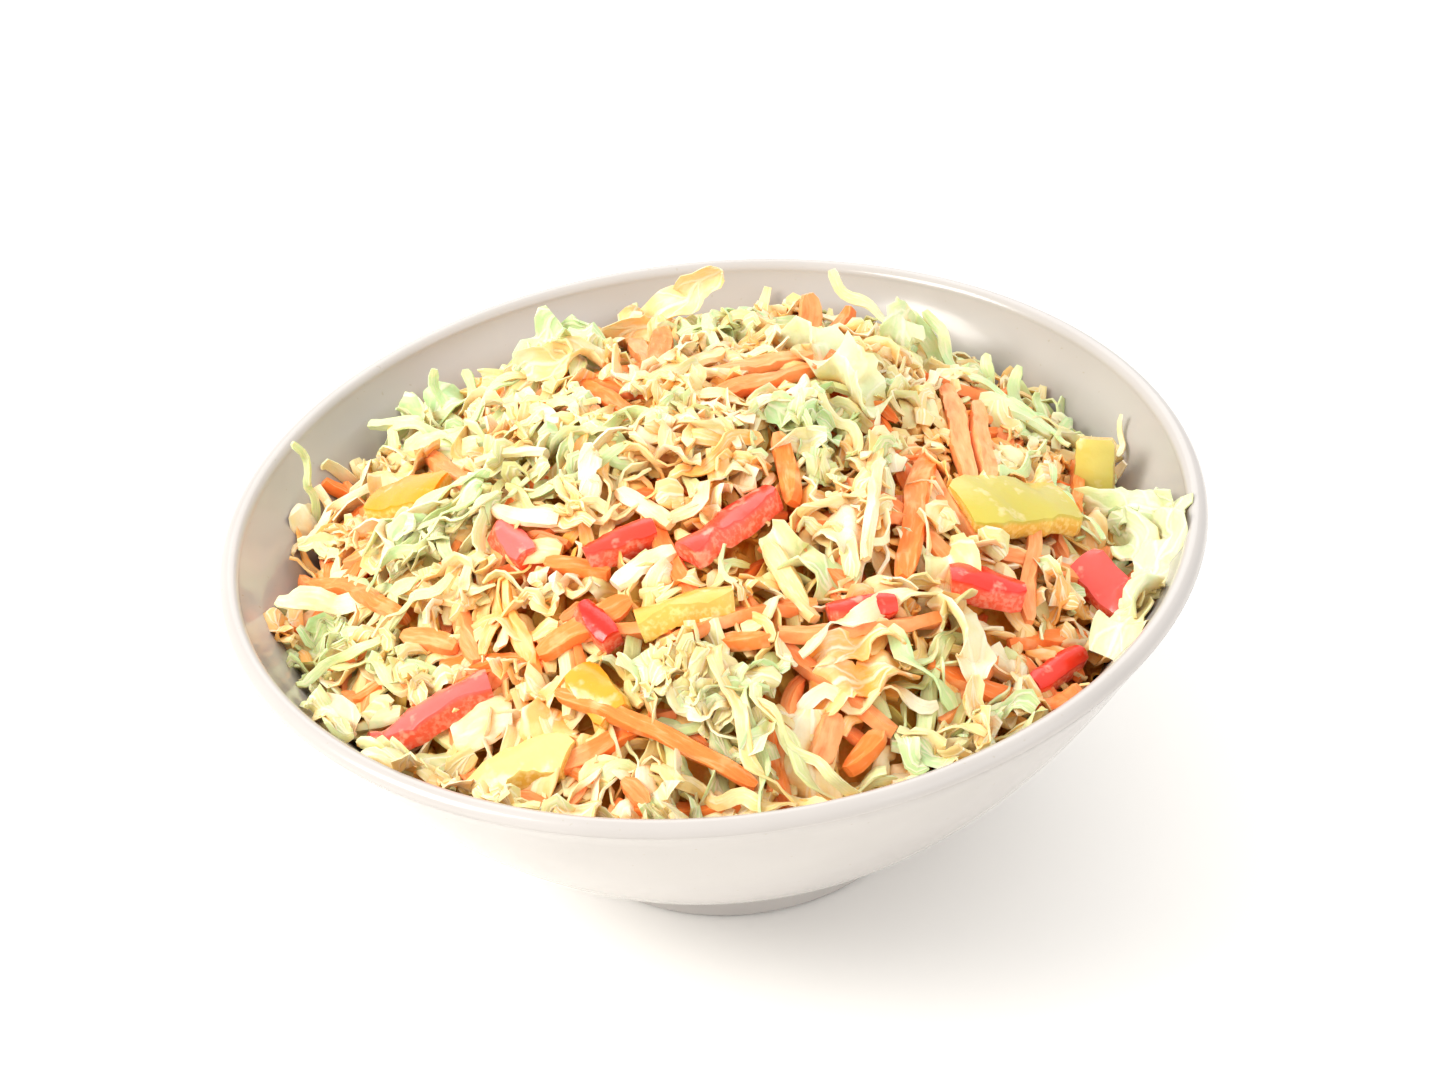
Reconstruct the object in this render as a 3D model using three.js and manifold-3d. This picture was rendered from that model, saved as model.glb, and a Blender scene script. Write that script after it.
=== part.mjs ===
// Coleslaw heaped in a round, flared bowl: shredded cabbage and carrot with pieces of red and
// yellow sweet pepper. Millimetres, +Z up. The origin is the middle of the foot, on the surface
// that the bowl stands on, and -Y is the side that the diner sits at.
import * as THREE from "three";
import Module from "manifold-3d";
import { mergeVertices } from "three/addons/utils/BufferGeometryUtils.js";

const wasm = await Module();
wasm.setup();

// Driving dimensions.
const bowl = {
  rimRadius: 75, // inside the lip
  height: 60,
  wall: 3.4,
  floor: 6, // top of the floor inside, at the axis
  flare: 2.6, // power of the wall's curve
  footRadius: 31,
  footHeight: 5,
  footWidth: 5,
  recess: 2, // under the foot
  bevel: 0.8,
  sectors: 48,
  wallSteps: 5,
  lipSteps: 5,
};

const heap = {
  edgeHeight: 48, // where the top layer meets the wall
  crownHeight: 74, // top layer at the axis
  layer: 2.6, // depth of the loose top layer over the core
  gap: 0.6, // clear of the bowl
  pepperGap: 0.4, // clear of each piece of pepper
  sectors: 36,
  topRings: 6,
  wallSteps: 4,
  headroom: 110, // top of the room that pieces may reach up into
};

// Mounds and hollows of the top: middle, radius and height.
const mounds = [
  { x: -3, y: -47, radius: 13, height: 3.5 },
  { x: 24, y: 18, radius: 14, height: 3 },
  { x: -50, y: -8, radius: 12, height: 2 },
  { x: -22, y: 33, radius: 13, height: 3 },
  { x: 24, y: -46, radius: 11, height: 2.5 },
  { x: 33, y: 38, radius: 11, height: 2.5 },
  { x: -10, y: 6, radius: 17, height: 2 },
  { x: 14, y: -29, radius: 8, height: -2 },
  { x: -31, y: -42, radius: 8, height: -2 },
  { x: 33, y: -1, radius: 8, height: -2 },
  { x: -34, y: 14, radius: 8, height: -1.5 },
];

// What the pieces of each kind share. seat is how far the middle line stands over the core.
const carrot = { width: 3, thickness: 2.2, seat: 0.8, columns: 3 };
const shred = { thickness: 1.3, seat: 0.3, bend: 2, columns: 5 };
const leaf = { thickness: 1.2, seat: 0.2, fold: 3, columns: 3, rows: 2 };
const pepper = { thickness: 4.4, crown: 1.2, sink: 0.6, bend: 0.6, columns: 3, rows: 2 };

const finishes = {
  bowl: { color: "#efe9df", roughness: 0.2 },
  slaw: { color: "#e8dba6", roughness: 0.45 },
  red: { color: "#d8361c", roughness: 0.3 },
  yellow: { color: "#e9c23a", roughness: 0.3 },
};

// Pieces of pepper: middle, heading in degrees from +X, length along it and width across it.
const redPeppers = [
  { x: 3, y: -22.5, heading: 43, length: 23, width: 6.5 },
  { x: -14, y: -23, heading: 16, length: 11, width: 5 },
  { x: -44, y: -40, heading: 10, length: 20, width: 6.5 },
  { x: 40, y: -32, heading: -3, length: 12, width: 7 },
  { x: 60, y: -24, heading: -50, length: 11, width: 7 },
  { x: -30, y: -17, heading: -63, length: 9, width: 4.5 },
  { x: -18, y: -36.4, heading: -65, length: 8, width: 4 },
  { x: 49, y: -40, heading: 44, length: 12, width: 3.5 },
  { x: 21, y: -38, heading: 10, length: 11, width: 3.5 },
];
const yellowPeppers = [
  { x: 46, y: -12, heading: 22, length: 20, width: 11 },
  { x: 60, y: 7, heading: -75, length: 11, width: 6.5, rise: 5 },
  { x: -46, y: 5, heading: -35, length: 15, width: 8.5 },
  { x: -31, y: -52.6, heading: 10, length: 15, width: 7, bend: 2.4 },
  { x: -5, y: -38.5, heading: 9, length: 14, width: 5.5 },
  { x: -18.6, y: -47, heading: -60, length: 8, width: 5 },
];

// Carrot strips that show, as middle, heading and length. rise lifts the far end off the heap.
const carrotStrips = [
  { x: -9, y: -57, heading: -27, length: 34 },
  { x: -57, y: -9, heading: -52, length: 24 },
  { x: -22, y: -31, heading: 17, length: 16, width: 4 },
  { x: 31, y: -15, heading: 80, length: 24, width: 3.6 },
  { x: 41, y: 6, heading: -88, length: 20, width: 3.4 },
  { x: 45.5, y: 5, heading: -94, length: 18, width: 3.4 },
  { x: 50, y: -25, heading: -100, length: 15, rise: 3 },
  { x: 10, y: 11, heading: 25, length: 22, width: 3.4 },
  { x: 9, y: 17, heading: 12, length: 19 },
  { x: 17, y: 39, heading: 82, length: 13, width: 3.6, rise: 11 },
  { x: 25, y: 45, heading: 58, length: 14, rise: 4 },
  { x: -36, y: 33, heading: -20, length: 14 },
  { x: -14, y: 13, heading: -48, length: 20 },
  { x: -40, y: 17, heading: -58, length: 20 },
  { x: 13, y: -10, heading: -82, length: 13, width: 3.4, rise: 2 },
  { x: 14, y: -58, heading: 64, length: 9, width: 4.4 },
  { x: 20, y: -57, heading: 25, length: 9, width: 3.6 },
  { x: -42, y: -27, heading: -38, length: 12 },
  { x: 57, y: 12, heading: -96, length: 13, width: 2.4, rise: 3 },
  { x: -8, y: 31, heading: -78, length: 18, width: 3.4 },
  { x: 2, y: -47, heading: -8, length: 9, width: 3.4 },
  { x: -58, y: 28, heading: -60, length: 12, width: 2.4 },
];

// Long shreds that stand proud of the heap. rise is how far the far end lifts.
const proudShreds = [
  { x: -16, y: 46, heading: 8, length: 34, width: 3.8, rise: 9 },
  { x: 2, y: 45, heading: 20, length: 20, width: 3.6, rise: 12 },
  { x: 34, y: 38, heading: 130, length: 30, width: 4.4, rise: 9 },
  { x: -62, y: 27, heading: 118, length: 22, width: 2, rise: 7 },
  { x: 5, y: 33, heading: 95, length: 14, width: 1.8, rise: 8 },
  { x: 46, y: 29, heading: 66, length: 17, width: 2.4, rise: 8 },
  { x: 51, y: 24, heading: 50, length: 15, width: 2.2, rise: 7 },
  { x: 54, y: 17, heading: 38, length: 14, width: 2.4, rise: 6 },
  { x: -43, y: 38, heading: 110, length: 13, width: 2.6, rise: 7 },
  { x: -39, y: 39, heading: 70, length: 13, width: 2.2, rise: 7 },
  { x: -60, y: -11, heading: 168, length: 20, width: 4, rise: 3 },
  { x: -43, y: 30, heading: 155, length: 24, width: 3, rise: 4 },
  { x: -33, y: -31, heading: -22, length: 22, width: 2.8, rise: 1 },
  { x: -59, y: 3, heading: 110, length: 18, width: 2.4, rise: 4 },
];

// Leaves and scraps of leaf, seated along their middle line. tilt lifts one long edge more than
// the other, and ripple waves them.
const leaves = [
  { x: 23, y: 14, heading: -72, length: 19, width: 12, fold: 4.5 },
  { x: -21, y: 38, heading: 60, length: 19, width: 12, tilt: 4, ripple: 2 },
  { x: 15, y: -48, heading: 34, length: 20, width: 10, tilt: 4 },
  { x: 30, y: -46, heading: -40, length: 18, width: 9, tilt: -4 },
  { x: -5, y: -49, heading: -50, length: 20, width: 14, ripple: 2.4 },
  { x: 65, y: -7, heading: 78, length: 18, width: 11, tilt: -5, ripple: 1.6 },
  { x: 60, y: -34, heading: 60, length: 14, width: 10, tilt: -4, ripple: 1.6 },
  { x: 13, y: -30, heading: -50, length: 13, width: 8, tilt: 2 },
  { x: -56, y: -33, heading: -20, length: 11, width: 6, tilt: 2 },
  { x: -47, y: 18, heading: 40, length: 17, width: 11, tilt: -3, ripple: 1.6 },
];

// Leaves, carrot strips and shreds that cover the rest of the heap, largest first. height is how
// far a strip stands over the core, and start is the angle in radians that a spiral starts at.
const cover = {
  seed: 11,
  kinds: [
    { count: 6, start: 6, length: [14, 18], width: [9, 12], ripple: 2, isLeaf: true },
    { count: 10, start: 10, length: [16, 26], width: [2.6, 3.6], height: [3, 5], thickness: 2.2 },
    { count: 32, start: 32, length: [20, 34], width: [2.4, 3.6], height: [3, 6.5], thickness: 1.3 },
  ],
  columns: 4,
  reach: 0.95, // share of the heap's radius that middles are spread over
  jitter: 1.5,
  bend: 3.5,
  tilt: 3,
  tries: 6,
};

const degrees = Math.PI / 180;

// Radius of the inside wall at a height, and height at a radius.
function wallRadius(z) {
  const share = (z - bowl.floor) / (bowl.height - bowl.floor);
  return bowl.rimRadius * Math.pow(Math.max(share, 0), 1 / bowl.flare);
}

function wallHeight(r) {
  return bowl.floor + (bowl.height - bowl.floor) * Math.pow(r / bowl.rimRadius, bowl.flare);
}

const coreEdge = { height: heap.edgeHeight - heap.layer };
coreEdge.radius = wallRadius(coreEdge.height) - heap.gap;

// Height of the top layer, and of the core under it.
function topHeight(x, y) {
  const share = Math.min(Math.hypot(x, y) / coreEdge.radius, 1);
  let z = heap.edgeHeight + (heap.crownHeight - heap.edgeHeight) * (1 - share * share);
  const fade = Math.min(1, 5 * (1 - share));
  for (const m of mounds) {
    const distance = Math.hypot(x - m.x, y - m.y) / m.radius;
    z += fade * m.height * Math.exp(-distance * distance);
  }
  return z;
}

function coreHeight(x, y) {
  return topHeight(x, y) - heap.layer;
}

function randomFrom(seed) {
  let state = seed;
  return () => {
    state = (state * 1664525 + 1013904223) % 4294967296;
    return state / 4294967296;
  };
}

// A three.js geometry as a manifold-3d solid, and back.
function solidOf(geometry) {
  const bare = geometry.index ? geometry.toNonIndexed() : geometry.clone();
  bare.deleteAttribute("normal");
  bare.deleteAttribute("uv");
  const merged = mergeVertices(bare, 1e-4);
  return new wasm.Manifold(
    new wasm.Mesh({
      numProp: 3,
      vertProperties: merged.attributes.position.array,
      triVerts: new Uint32Array(merged.index.array),
    }),
  );
}

function geometryOf(solid) {
  const mesh = solid.getMesh();
  const geometry = new THREE.BufferGeometry();
  geometry.setAttribute("position", new THREE.BufferAttribute(mesh.vertProperties, 3));
  geometry.setIndex(new THREE.BufferAttribute(mesh.triVerts, 1));
  geometry.computeVertexNormals();
  return geometry;
}

// A profile of [radius, height] points turned about the Z axis.
function turned(profile, sectors) {
  const points = profile.map(([r, z]) => new THREE.Vector2(r, z));
  return new THREE.LatheGeometry(points, sectors).rotateX(Math.PI / 2);
}

// Points up the inside wall, moved out by a thickness square to it.
function wallPoints(offset, steps, fromRadius, toRadius) {
  return Array.from({ length: steps + 1 }, (_, i) => {
    const r = fromRadius + ((toRadius - fromRadius) * i) / steps;
    const rise = (wallHeight(r + 0.01) - wallHeight(r)) / 0.01;
    const slant = Math.hypot(1, rise);
    return [r + (offset * rise) / slant, wallHeight(r) - offset / slant];
  });
}

function bowlGeometry() {
  const { footRadius, footHeight, footWidth, recess, bevel, wall, rimRadius, height } = bowl;
  const lipTop = height - wall / 2;
  const lip = Array.from({ length: bowl.lipSteps }, (_, i) => {
    const angle = (Math.PI * (i + 1)) / (bowl.lipSteps + 1);
    return [
      rimRadius + (wall / 2) * (1 + Math.cos(angle)),
      lipTop + (wall / 2) * Math.sin(angle),
    ];
  });
  const outside = wallPoints(wall, bowl.wallSteps, footRadius, rimRadius - 0.6)
    .filter(([, z]) => z > footHeight && z < lipTop);
  const inside = wallPoints(0, bowl.wallSteps + 2, 12, rimRadius - 0.6).reverse()
    .filter(([, z]) => z < lipTop);
  const profile = [
    [0, recess],
    [footRadius - footWidth - bevel, recess],
    [footRadius - footWidth, 0],
    [footRadius - bevel, 0],
    [footRadius, bevel],
    [footRadius, footHeight],
    ...outside,
    ...lip,
    ...inside,
    [0, bowl.floor],
  ];
  return turned(profile, bowl.sectors);
}

// The room inside the bowl and above it, which the food stays within.
function roomSolid() {
  const inside = wallPoints(-heap.gap, bowl.wallSteps + 2, 12, bowl.rimRadius);
  const profile = [
    [0, bowl.floor + heap.gap],
    ...inside,
    [bowl.rimRadius - heap.gap, heap.headroom],
    [0, heap.headroom],
  ];
  return solidOf(turned(profile, bowl.sectors));
}

// The packed inside of the heap: the bowl's shape below and a lumpy dome above.
function coreSolid() {
  const below = wallPoints(-2 * heap.gap, heap.wallSteps, 15, coreEdge.radius)
    .filter(([, z]) => z < coreEdge.height);
  const above = Array.from({ length: heap.topRings + 1 }, (_, i) => {
    const r = coreEdge.radius * (1 - i / heap.topRings);
    return [r, heap.headroom];
  });
  const profile = [[0, bowl.floor + 2 * heap.gap], ...below, ...above];
  const geometry = turned(profile, heap.sectors);
  const position = geometry.attributes.position;
  for (let i = 0; i < position.count; i++)
    if (position.getZ(i) > heap.headroom - 1)
      position.setZ(i, coreHeight(position.getX(i), position.getY(i)));
  return solidOf(geometry);
}

// A thin closed sheet. middle(u, v) gives its mid-surface, with u along it and v across it from
// 0 to 1. Both faces are split into triangles alike.
function slab(columns, rows, middle, thickness) {
  const step = 1e-3;
  const positions = [];
  const index = [];
  const side = (columns + 1) * (rows + 1);
  for (const sign of [0.5, -0.5])
    for (let j = 0; j <= rows; j++)
      for (let i = 0; i <= columns; i++) {
        const u = i / columns;
        const v = j / rows;
        const centre = middle(u, v);
        const along = middle(u + step, v).sub(centre);
        const across = middle(u, v + step).sub(centre);
        const normal = along.cross(across).normalize();
        positions.push(...centre.addScaledVector(normal, sign * thickness).toArray());
      }
  const at = (i, j) => j * (columns + 1) + i;
  for (let j = 0; j < rows; j++)
    for (let i = 0; i < columns; i++) {
      const [a, b, c, d] = [at(i, j), at(i + 1, j), at(i + 1, j + 1), at(i, j + 1)];
      index.push(a, b, c, a, c, d);
      index.push(a + side, c + side, b + side, a + side, d + side, c + side);
    }
  const rim = [];
  for (let i = 0; i < columns; i++) rim.push(at(i, 0));
  for (let j = 0; j < rows; j++) rim.push(at(columns, j));
  for (let i = columns; i > 0; i--) rim.push(at(i, rows));
  for (let j = rows; j > 0; j--) rim.push(at(0, j));
  rim.forEach((p, k) => {
    const q = rim[(k + 1) % rim.length];
    index.push(p + side, q + side, q, p + side, q, p);
  });
  const geometry = new THREE.BufferGeometry();
  geometry.setAttribute("position", new THREE.Float32BufferAttribute(positions, 3));
  geometry.setIndex(index);
  return geometry;
}

// A piece that lies along the heap. lift(u) is its height over the core at each point along it,
// bend bows it sideways, ripple waves its edges, and fold and tilt lift them.
function lying(piece, lift) {
  const { x, y, heading, length, width } = piece;
  const { bend = 0, tilt = 0, fold = 0, ripple = 0 } = piece;
  const forward = [Math.cos(heading * degrees), Math.sin(heading * degrees)];
  return (u, v) => {
    const s = (u - 0.5) * length;
    const w = (v - 0.5) * width;
    const bow = w + bend * (1 - 4 * (u - 0.5) * (u - 0.5));
    const px = x + s * forward[0] - bow * forward[1];
    const py = y + s * forward[1] + bow * forward[0];
    const edge = Math.abs(2 * v - 1);
    const wave = ripple * edge * Math.sin(2 * Math.PI * (1.6 * u + 0.4 * v));
    const z = coreHeight(px, py) + lift(u) + tilt * (v - 0.5) + fold * edge + wave;
    return new THREE.Vector3(px, py, z);
  };
}

// How a loose strip clears the core: both ends in it, its middle in it, or its near end in it.
const lifts = {
  arched: (height) => (u) => height * Math.pow(Math.sin(Math.PI * u), 2) - 0.6,
  cradled: (height) => (u) => height * Math.pow(Math.cos(Math.PI * u), 2) + 0.3,
  rising: (height) => (u) => height * u * u - 0.3,
};

function carrotSolid(strip) {
  const { width, thickness, seat, columns } = carrot;
  const shape = lying({ width, ...strip }, (u) => seat + (strip.rise ?? 0) * u * u);
  return solidOf(slab(columns, 1, shape, thickness));
}

function proudSolid(strand) {
  const { thickness, seat, bend, columns } = shred;
  const shape = lying({ bend, ...strand }, (u) => seat + strand.rise * u * u);
  return solidOf(slab(columns, 1, shape, thickness));
}

function leafSolid(piece) {
  const { thickness, seat, fold, columns, rows } = leaf;
  return solidOf(slab(columns, rows, lying({ fold, ...piece }, () => seat), thickness));
}

// A piece of pepper, crowned across, its underside in the core. grow makes it larger all round.
function pepperSlab(piece, grow) {
  const { crown, sink, bend, columns, rows } = pepper;
  const thickness = Math.min(pepper.thickness, piece.width * 0.8);
  const grown = { bend, ...piece, length: piece.length + 2 * grow, width: piece.width + 2 * grow };
  const seat = thickness / 2 - sink;
  const lengthways = lying(grown, (u) => seat + (piece.rise ?? 0) * (u - 0.1));
  const crowned = (u, v) => {
    const point = lengthways(u, v);
    point.z -= crown * (2 * v - 1) * (2 * v - 1);
    return point;
  };
  return slab(columns, rows, crowned, thickness + 2 * grow);
}

const solids = {
  core: coreSolid(),
  room: roomSolid(),
  sockets: [...redPeppers, ...yellowPeppers].map((p) =>
    solidOf(pepperSlab(p, heap.pepperGap))),
};

// A piece of pepper, trimmed where it would meet the wall.
function pepperGeometry(piece) {
  return geometryOf(solidOf(pepperSlab(piece, 0)).intersect(solids.room));
}

function isClear(solid, others) {
  return others.every((other) => solid.intersect(other).volume() < 0.01);
}

// Spreads the covering pieces over the heap on a sunflower spiral, jittered by a seeded draw.
// A piece that would cross a pepper is turned, and skipped if no turn clears them all.
function coverSolids() {
  const random = randomFrom(cover.seed);
  const between = (low, high) => low + (high - low) * random();
  const styles = Object.values(lifts);
  const goldenAngle = Math.PI * (3 - Math.sqrt(5));
  const made = [];
  for (const kind of cover.kinds)
    for (let i = 0; i < kind.count; i++) {
      const radius = coreEdge.radius * cover.reach * Math.sqrt((i + 0.5) / kind.count);
      const angle = i * goldenAngle + kind.start;
      const piece = {
        x: radius * Math.cos(angle) + between(-cover.jitter, cover.jitter),
        y: radius * Math.sin(angle) + between(-cover.jitter, cover.jitter),
        length: between(...kind.length),
        width: between(...kind.width),
      };
      const style = styles[Math.floor(random() * styles.length)];
      const shape = kind.isLeaf
        ? { tilt: between(-cover.tilt, cover.tilt), ripple: kind.ripple }
        : { bend: between(-cover.bend, cover.bend), lift: style(between(...kind.height)) };
      for (let turn = 0; turn < cover.tries; turn++) {
        const turned = { ...piece, ...shape, heading: 360 * random() };
        const solid = kind.isLeaf
          ? leafSolid(turned)
          : solidOf(slab(cover.columns, 1, lying(turned, shape.lift), kind.thickness));
        if (!isClear(solid, solids.sockets)) continue;
        made.push(solid);
        break;
      }
    }
  return made;
}

// The heap as one solid: the core with every piece fused on, trimmed to the bowl and to the
// peppers. Scraps that the trimming leaves loose and hollows that it seals are dropped.
function heapSolid() {
  const shown = [
    ...carrotStrips.map(carrotSolid),
    ...proudShreds.map(proudSolid),
    ...leaves.map(leafSolid),
    ...coverSolids(),
  ];
  let heaped = solids.core;
  for (const piece of shown) heaped = heaped.add(piece);
  heaped = heaped.intersect(solids.room);
  for (const socket of solids.sockets) heaped = heaped.subtract(socket);
  const bodies = heaped.decompose();
  return bodies.reduce((largest, body) => (body.volume() > largest.volume() ? body : largest));
}

function named(name, geometry, finish) {
  const mesh = new THREE.Mesh(geometry, new THREE.MeshStandardMaterial(finish));
  mesh.name = name;
  return mesh;
}

const coleslaw = new THREE.Group();
coleslaw.add(named("bowl", bowlGeometry(), finishes.bowl));
coleslaw.add(named("slaw", geometryOf(heapSolid()), finishes.slaw));
redPeppers.forEach((piece, i) =>
  coleslaw.add(named(`red_pepper_${i + 1}`, pepperGeometry(piece), finishes.red)));
yellowPeppers.forEach((piece, i) =>
  coleslaw.add(named(`yellow_pepper_${i + 1}`, pepperGeometry(piece), finishes.yellow)));

export default coleslaw;
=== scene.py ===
import math

import bpy
import numpy as np
from mathutils import Matrix, Vector


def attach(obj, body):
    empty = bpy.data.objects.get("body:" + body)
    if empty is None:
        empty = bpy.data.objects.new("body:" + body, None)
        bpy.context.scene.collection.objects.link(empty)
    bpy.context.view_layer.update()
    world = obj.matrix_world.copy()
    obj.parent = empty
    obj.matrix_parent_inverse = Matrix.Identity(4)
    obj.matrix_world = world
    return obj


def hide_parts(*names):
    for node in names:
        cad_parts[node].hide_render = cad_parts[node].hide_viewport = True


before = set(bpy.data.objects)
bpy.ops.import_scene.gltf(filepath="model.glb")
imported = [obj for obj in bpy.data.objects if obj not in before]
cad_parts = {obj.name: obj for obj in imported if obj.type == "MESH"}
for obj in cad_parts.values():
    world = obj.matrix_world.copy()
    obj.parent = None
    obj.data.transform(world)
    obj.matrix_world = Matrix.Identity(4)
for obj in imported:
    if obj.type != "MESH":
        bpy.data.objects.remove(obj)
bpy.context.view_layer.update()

mm = 0.001  # lengths below are in millimetres, and meshes are made in metres


def linear(hexColour):
    # an sRGB hex value as the linear colour that sockets take
    parts = [int(hexColour[i : i + 2], 16) / 255 for i in (1, 3, 5)]
    return [p / 12.92 if p <= 0.04045 else ((p + 0.055) / 1.055) ** 2.4 for p in parts] + [1]


def addNode(tree, kind, inputs=None, output=0, **settings):
    # adds a node and returns one of its outputs, or all of them; inputs go by name or number, or
    # in their order, and each is a socket, a hex colour or a value
    node = tree.nodes.new(kind)
    for name, value in settings.items():
        setattr(node, name, value)
    inputs = inputs if isinstance(inputs, dict) else dict(enumerate(inputs or ()))
    for key, value in inputs.items():
        if isinstance(value, bpy.types.NodeSocket):
            tree.links.new(value, node.inputs[key])
        elif isinstance(value, str) and value.startswith("#"):
            node.inputs[key].default_value = linear(value)
        else:
            node.inputs[key].default_value = value
    return node.outputs if output is None else node.outputs[output]


def linked(name, data, height=0):
    # a new object in the scene
    thing = bpy.data.objects.new(name, data)
    thing.location.z = height
    bpy.context.scene.collection.objects.link(thing)
    return thing


# ---- camera, lights and floor

cameraSetup = {
    "lens": 75.0, "sensor": 36.0,
    "elevation": 35.155,  # degrees above the table
    "roll": -5.897, "distance": 476.65,
    "aimHeight": 60.0,  # the rim
    "aimRight": 1.82, "aimUp": -5.64,
}


def makeCamera(setup):
    data = bpy.data.cameras.new("camera")
    data.lens = setup["lens"]
    data.sensor_width = setup["sensor"]
    data.clip_start, data.clip_end = 0.01, 20
    e, roll = math.radians(setup["elevation"]), math.radians(setup["roll"])
    back = Vector((0, -math.cos(e), math.sin(e)))
    level = Vector((1, 0, 0))
    above = back.cross(level)
    right = math.cos(roll) * level + math.sin(roll) * above
    up = back.cross(right)
    aim = Vector((0, 0, setup["aimHeight"])) + setup["aimRight"] * right + setup["aimUp"] * up
    place = Matrix((right, up, back)).transposed().to_4x4()
    place.translation = (aim + back * setup["distance"]) * mm
    camera = linked("camera", data)
    camera.matrix_world = place
    bpy.context.scene.camera = camera


lampSetup = {
    "key": {"place": (-500, -140, 500), "size": 320, "watts": 4.3, "colour": "#fffcf6"},
    "fill": {"place": (560, -420, 380), "size": 600, "watts": 1.0, "colour": "#ffffff"},
    "back": {"place": (60, 620, 520), "size": 500, "watts": 1.2, "colour": "#ffffff"},
}
worldSetup = {"colour": "#ffffff", "strength": 1.18}


def makeLamps(setup, sky):
    for name, lamp in setup.items():
        data = bpy.data.lights.new(name, "AREA")
        data.size = lamp["size"] * mm
        data.energy = lamp["watts"]
        data.color = linear(lamp["colour"])[:3]
        place = Vector(lamp["place"]) * mm
        aim = Vector((0, 0, 50)) * mm
        turn = (aim - place).to_track_quat("-Z", "Y").to_matrix().to_4x4()
        linked(name, data).matrix_world = Matrix.Translation(place) @ turn
    world = bpy.data.worlds.new("studio")
    world.use_nodes = True
    background = world.node_tree.nodes["Background"]
    background.inputs["Color"].default_value = linear(sky["colour"])
    background.inputs["Strength"].default_value = sky["strength"]
    bpy.context.scene.world = world
    bpy.context.scene.view_settings.view_transform = "Standard"


def makeFloor(half=3.0, below=-0.0002):
    # painted board: even, matt and nearly white; both values are in metres
    material = bpy.data.materials.new("mattWhiteBoard")
    material.use_nodes = True
    shader = material.node_tree.nodes["Principled BSDF"]
    shader.inputs["Base Color"].default_value = linear("#f6f4f0")
    shader.inputs["Roughness"].default_value = 0.8
    mesh = bpy.data.meshes.new("floor")
    corners = [(-half, -half, 0), (half, -half, 0), (half, half, 0), (-half, half, 0)]
    mesh.from_pydata(corners, [], [(0, 1, 2, 3)])
    mesh.materials.append(material)
    linked("floor", mesh, below)


makeCamera(cameraSetup)
makeLamps(lampSetup, worldSetup)
makeFloor()
print("camera, lamps and floor made")

# ---- the bowl and the form of the heap, as the solids have them

bowl = {
    "rimRadius": 75.0, "height": 60.0, "wall": 3.4, "floor": 6.0, "flare": 2.6,
    "footRadius": 31.0, "footHeight": 5.0, "footWidth": 5.0, "recess": 2.0, "bevel": 0.8,
    "sectors": 160, "wallSteps": 26, "lipSteps": 12,
}

heap = {
    "edgeHeight": 48.0,
    "crownHeight": 74.0,
    "edgeRadius": 65.8,
    "depth": 5.6,  # how deep the loose pieces lie over the core
    "sunk": 1.6,  # the middle of the top pieces, under the form
    "bowlGap": 0.6,
    "ceiling": 78.0,
    "sectors": 96,
    "relief": 0.7,  # of the core, between the loose pieces
    "seed": 7,
}

mounds = [  # middle, radius and height
    (-3, -47, 13, 3.5), (24, 18, 14, 3), (-50, -8, 12, 2), (-22, 33, 13, 3), (24, -46, 11, 2.5),
    (33, 38, 11, 2.5), (-10, 6, 17, 2), (14, -29, 8, -2), (-31, -42, 8, -2), (33, -1, 8, -2),
    (-34, 14, 8, -1.5),
]

greenSpots = [  # where the outer leaf of the head gathers: middle and radius
    (-3, -47, 11), (-24, 36, 10), (36, 38, 11), (54, 24, 9), (24, 12, 9), (64, -8, 11),
    (-62, -18, 12), (15, -31, 6), (-2, -60, 8), (-45, 34, 10), (30, -50, 9), (-52, -32, 8),
    (-44, -6, 8), (-22, 0, 9), (20, -3, 8), (2, 40, 8),
]


def wallHeight(r):
    share = np.clip(r / bowl["rimRadius"], 0, 1)
    return bowl["floor"] + (bowl["height"] - bowl["floor"]) * share ** bowl["flare"]


def topHeight(x, y):
    share = np.minimum(np.hypot(x, y) / heap["edgeRadius"], 1)
    z = heap["edgeHeight"] + (heap["crownHeight"] - heap["edgeHeight"]) * (1 - share**2)
    fade = np.minimum(1, 5 * (1 - share))
    for mx, my, radius, height in mounds:
        z = z + fade * height * np.exp(-((x - mx) ** 2 + (y - my) ** 2) / radius**2)
    return z


def wallPoints(offset, steps, fromRadius, toRadius):
    points = []
    for r in np.linspace(fromRadius, toRadius, steps + 1):
        rise = (wallHeight(r + 0.001) - wallHeight(r - 0.001)) / 0.002
        slant = math.hypot(1, rise)
        points.append((r + offset * rise / slant, float(wallHeight(r)) - offset / slant))
    return points


def arcPoints(centre, radius, fromDegrees, toDegrees, steps):
    angles = [math.radians(a) for a in np.linspace(fromDegrees, toDegrees, steps + 1)]
    return [(centre[0] + radius * math.cos(a), centre[1] + radius * math.sin(a)) for a in angles]


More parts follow.
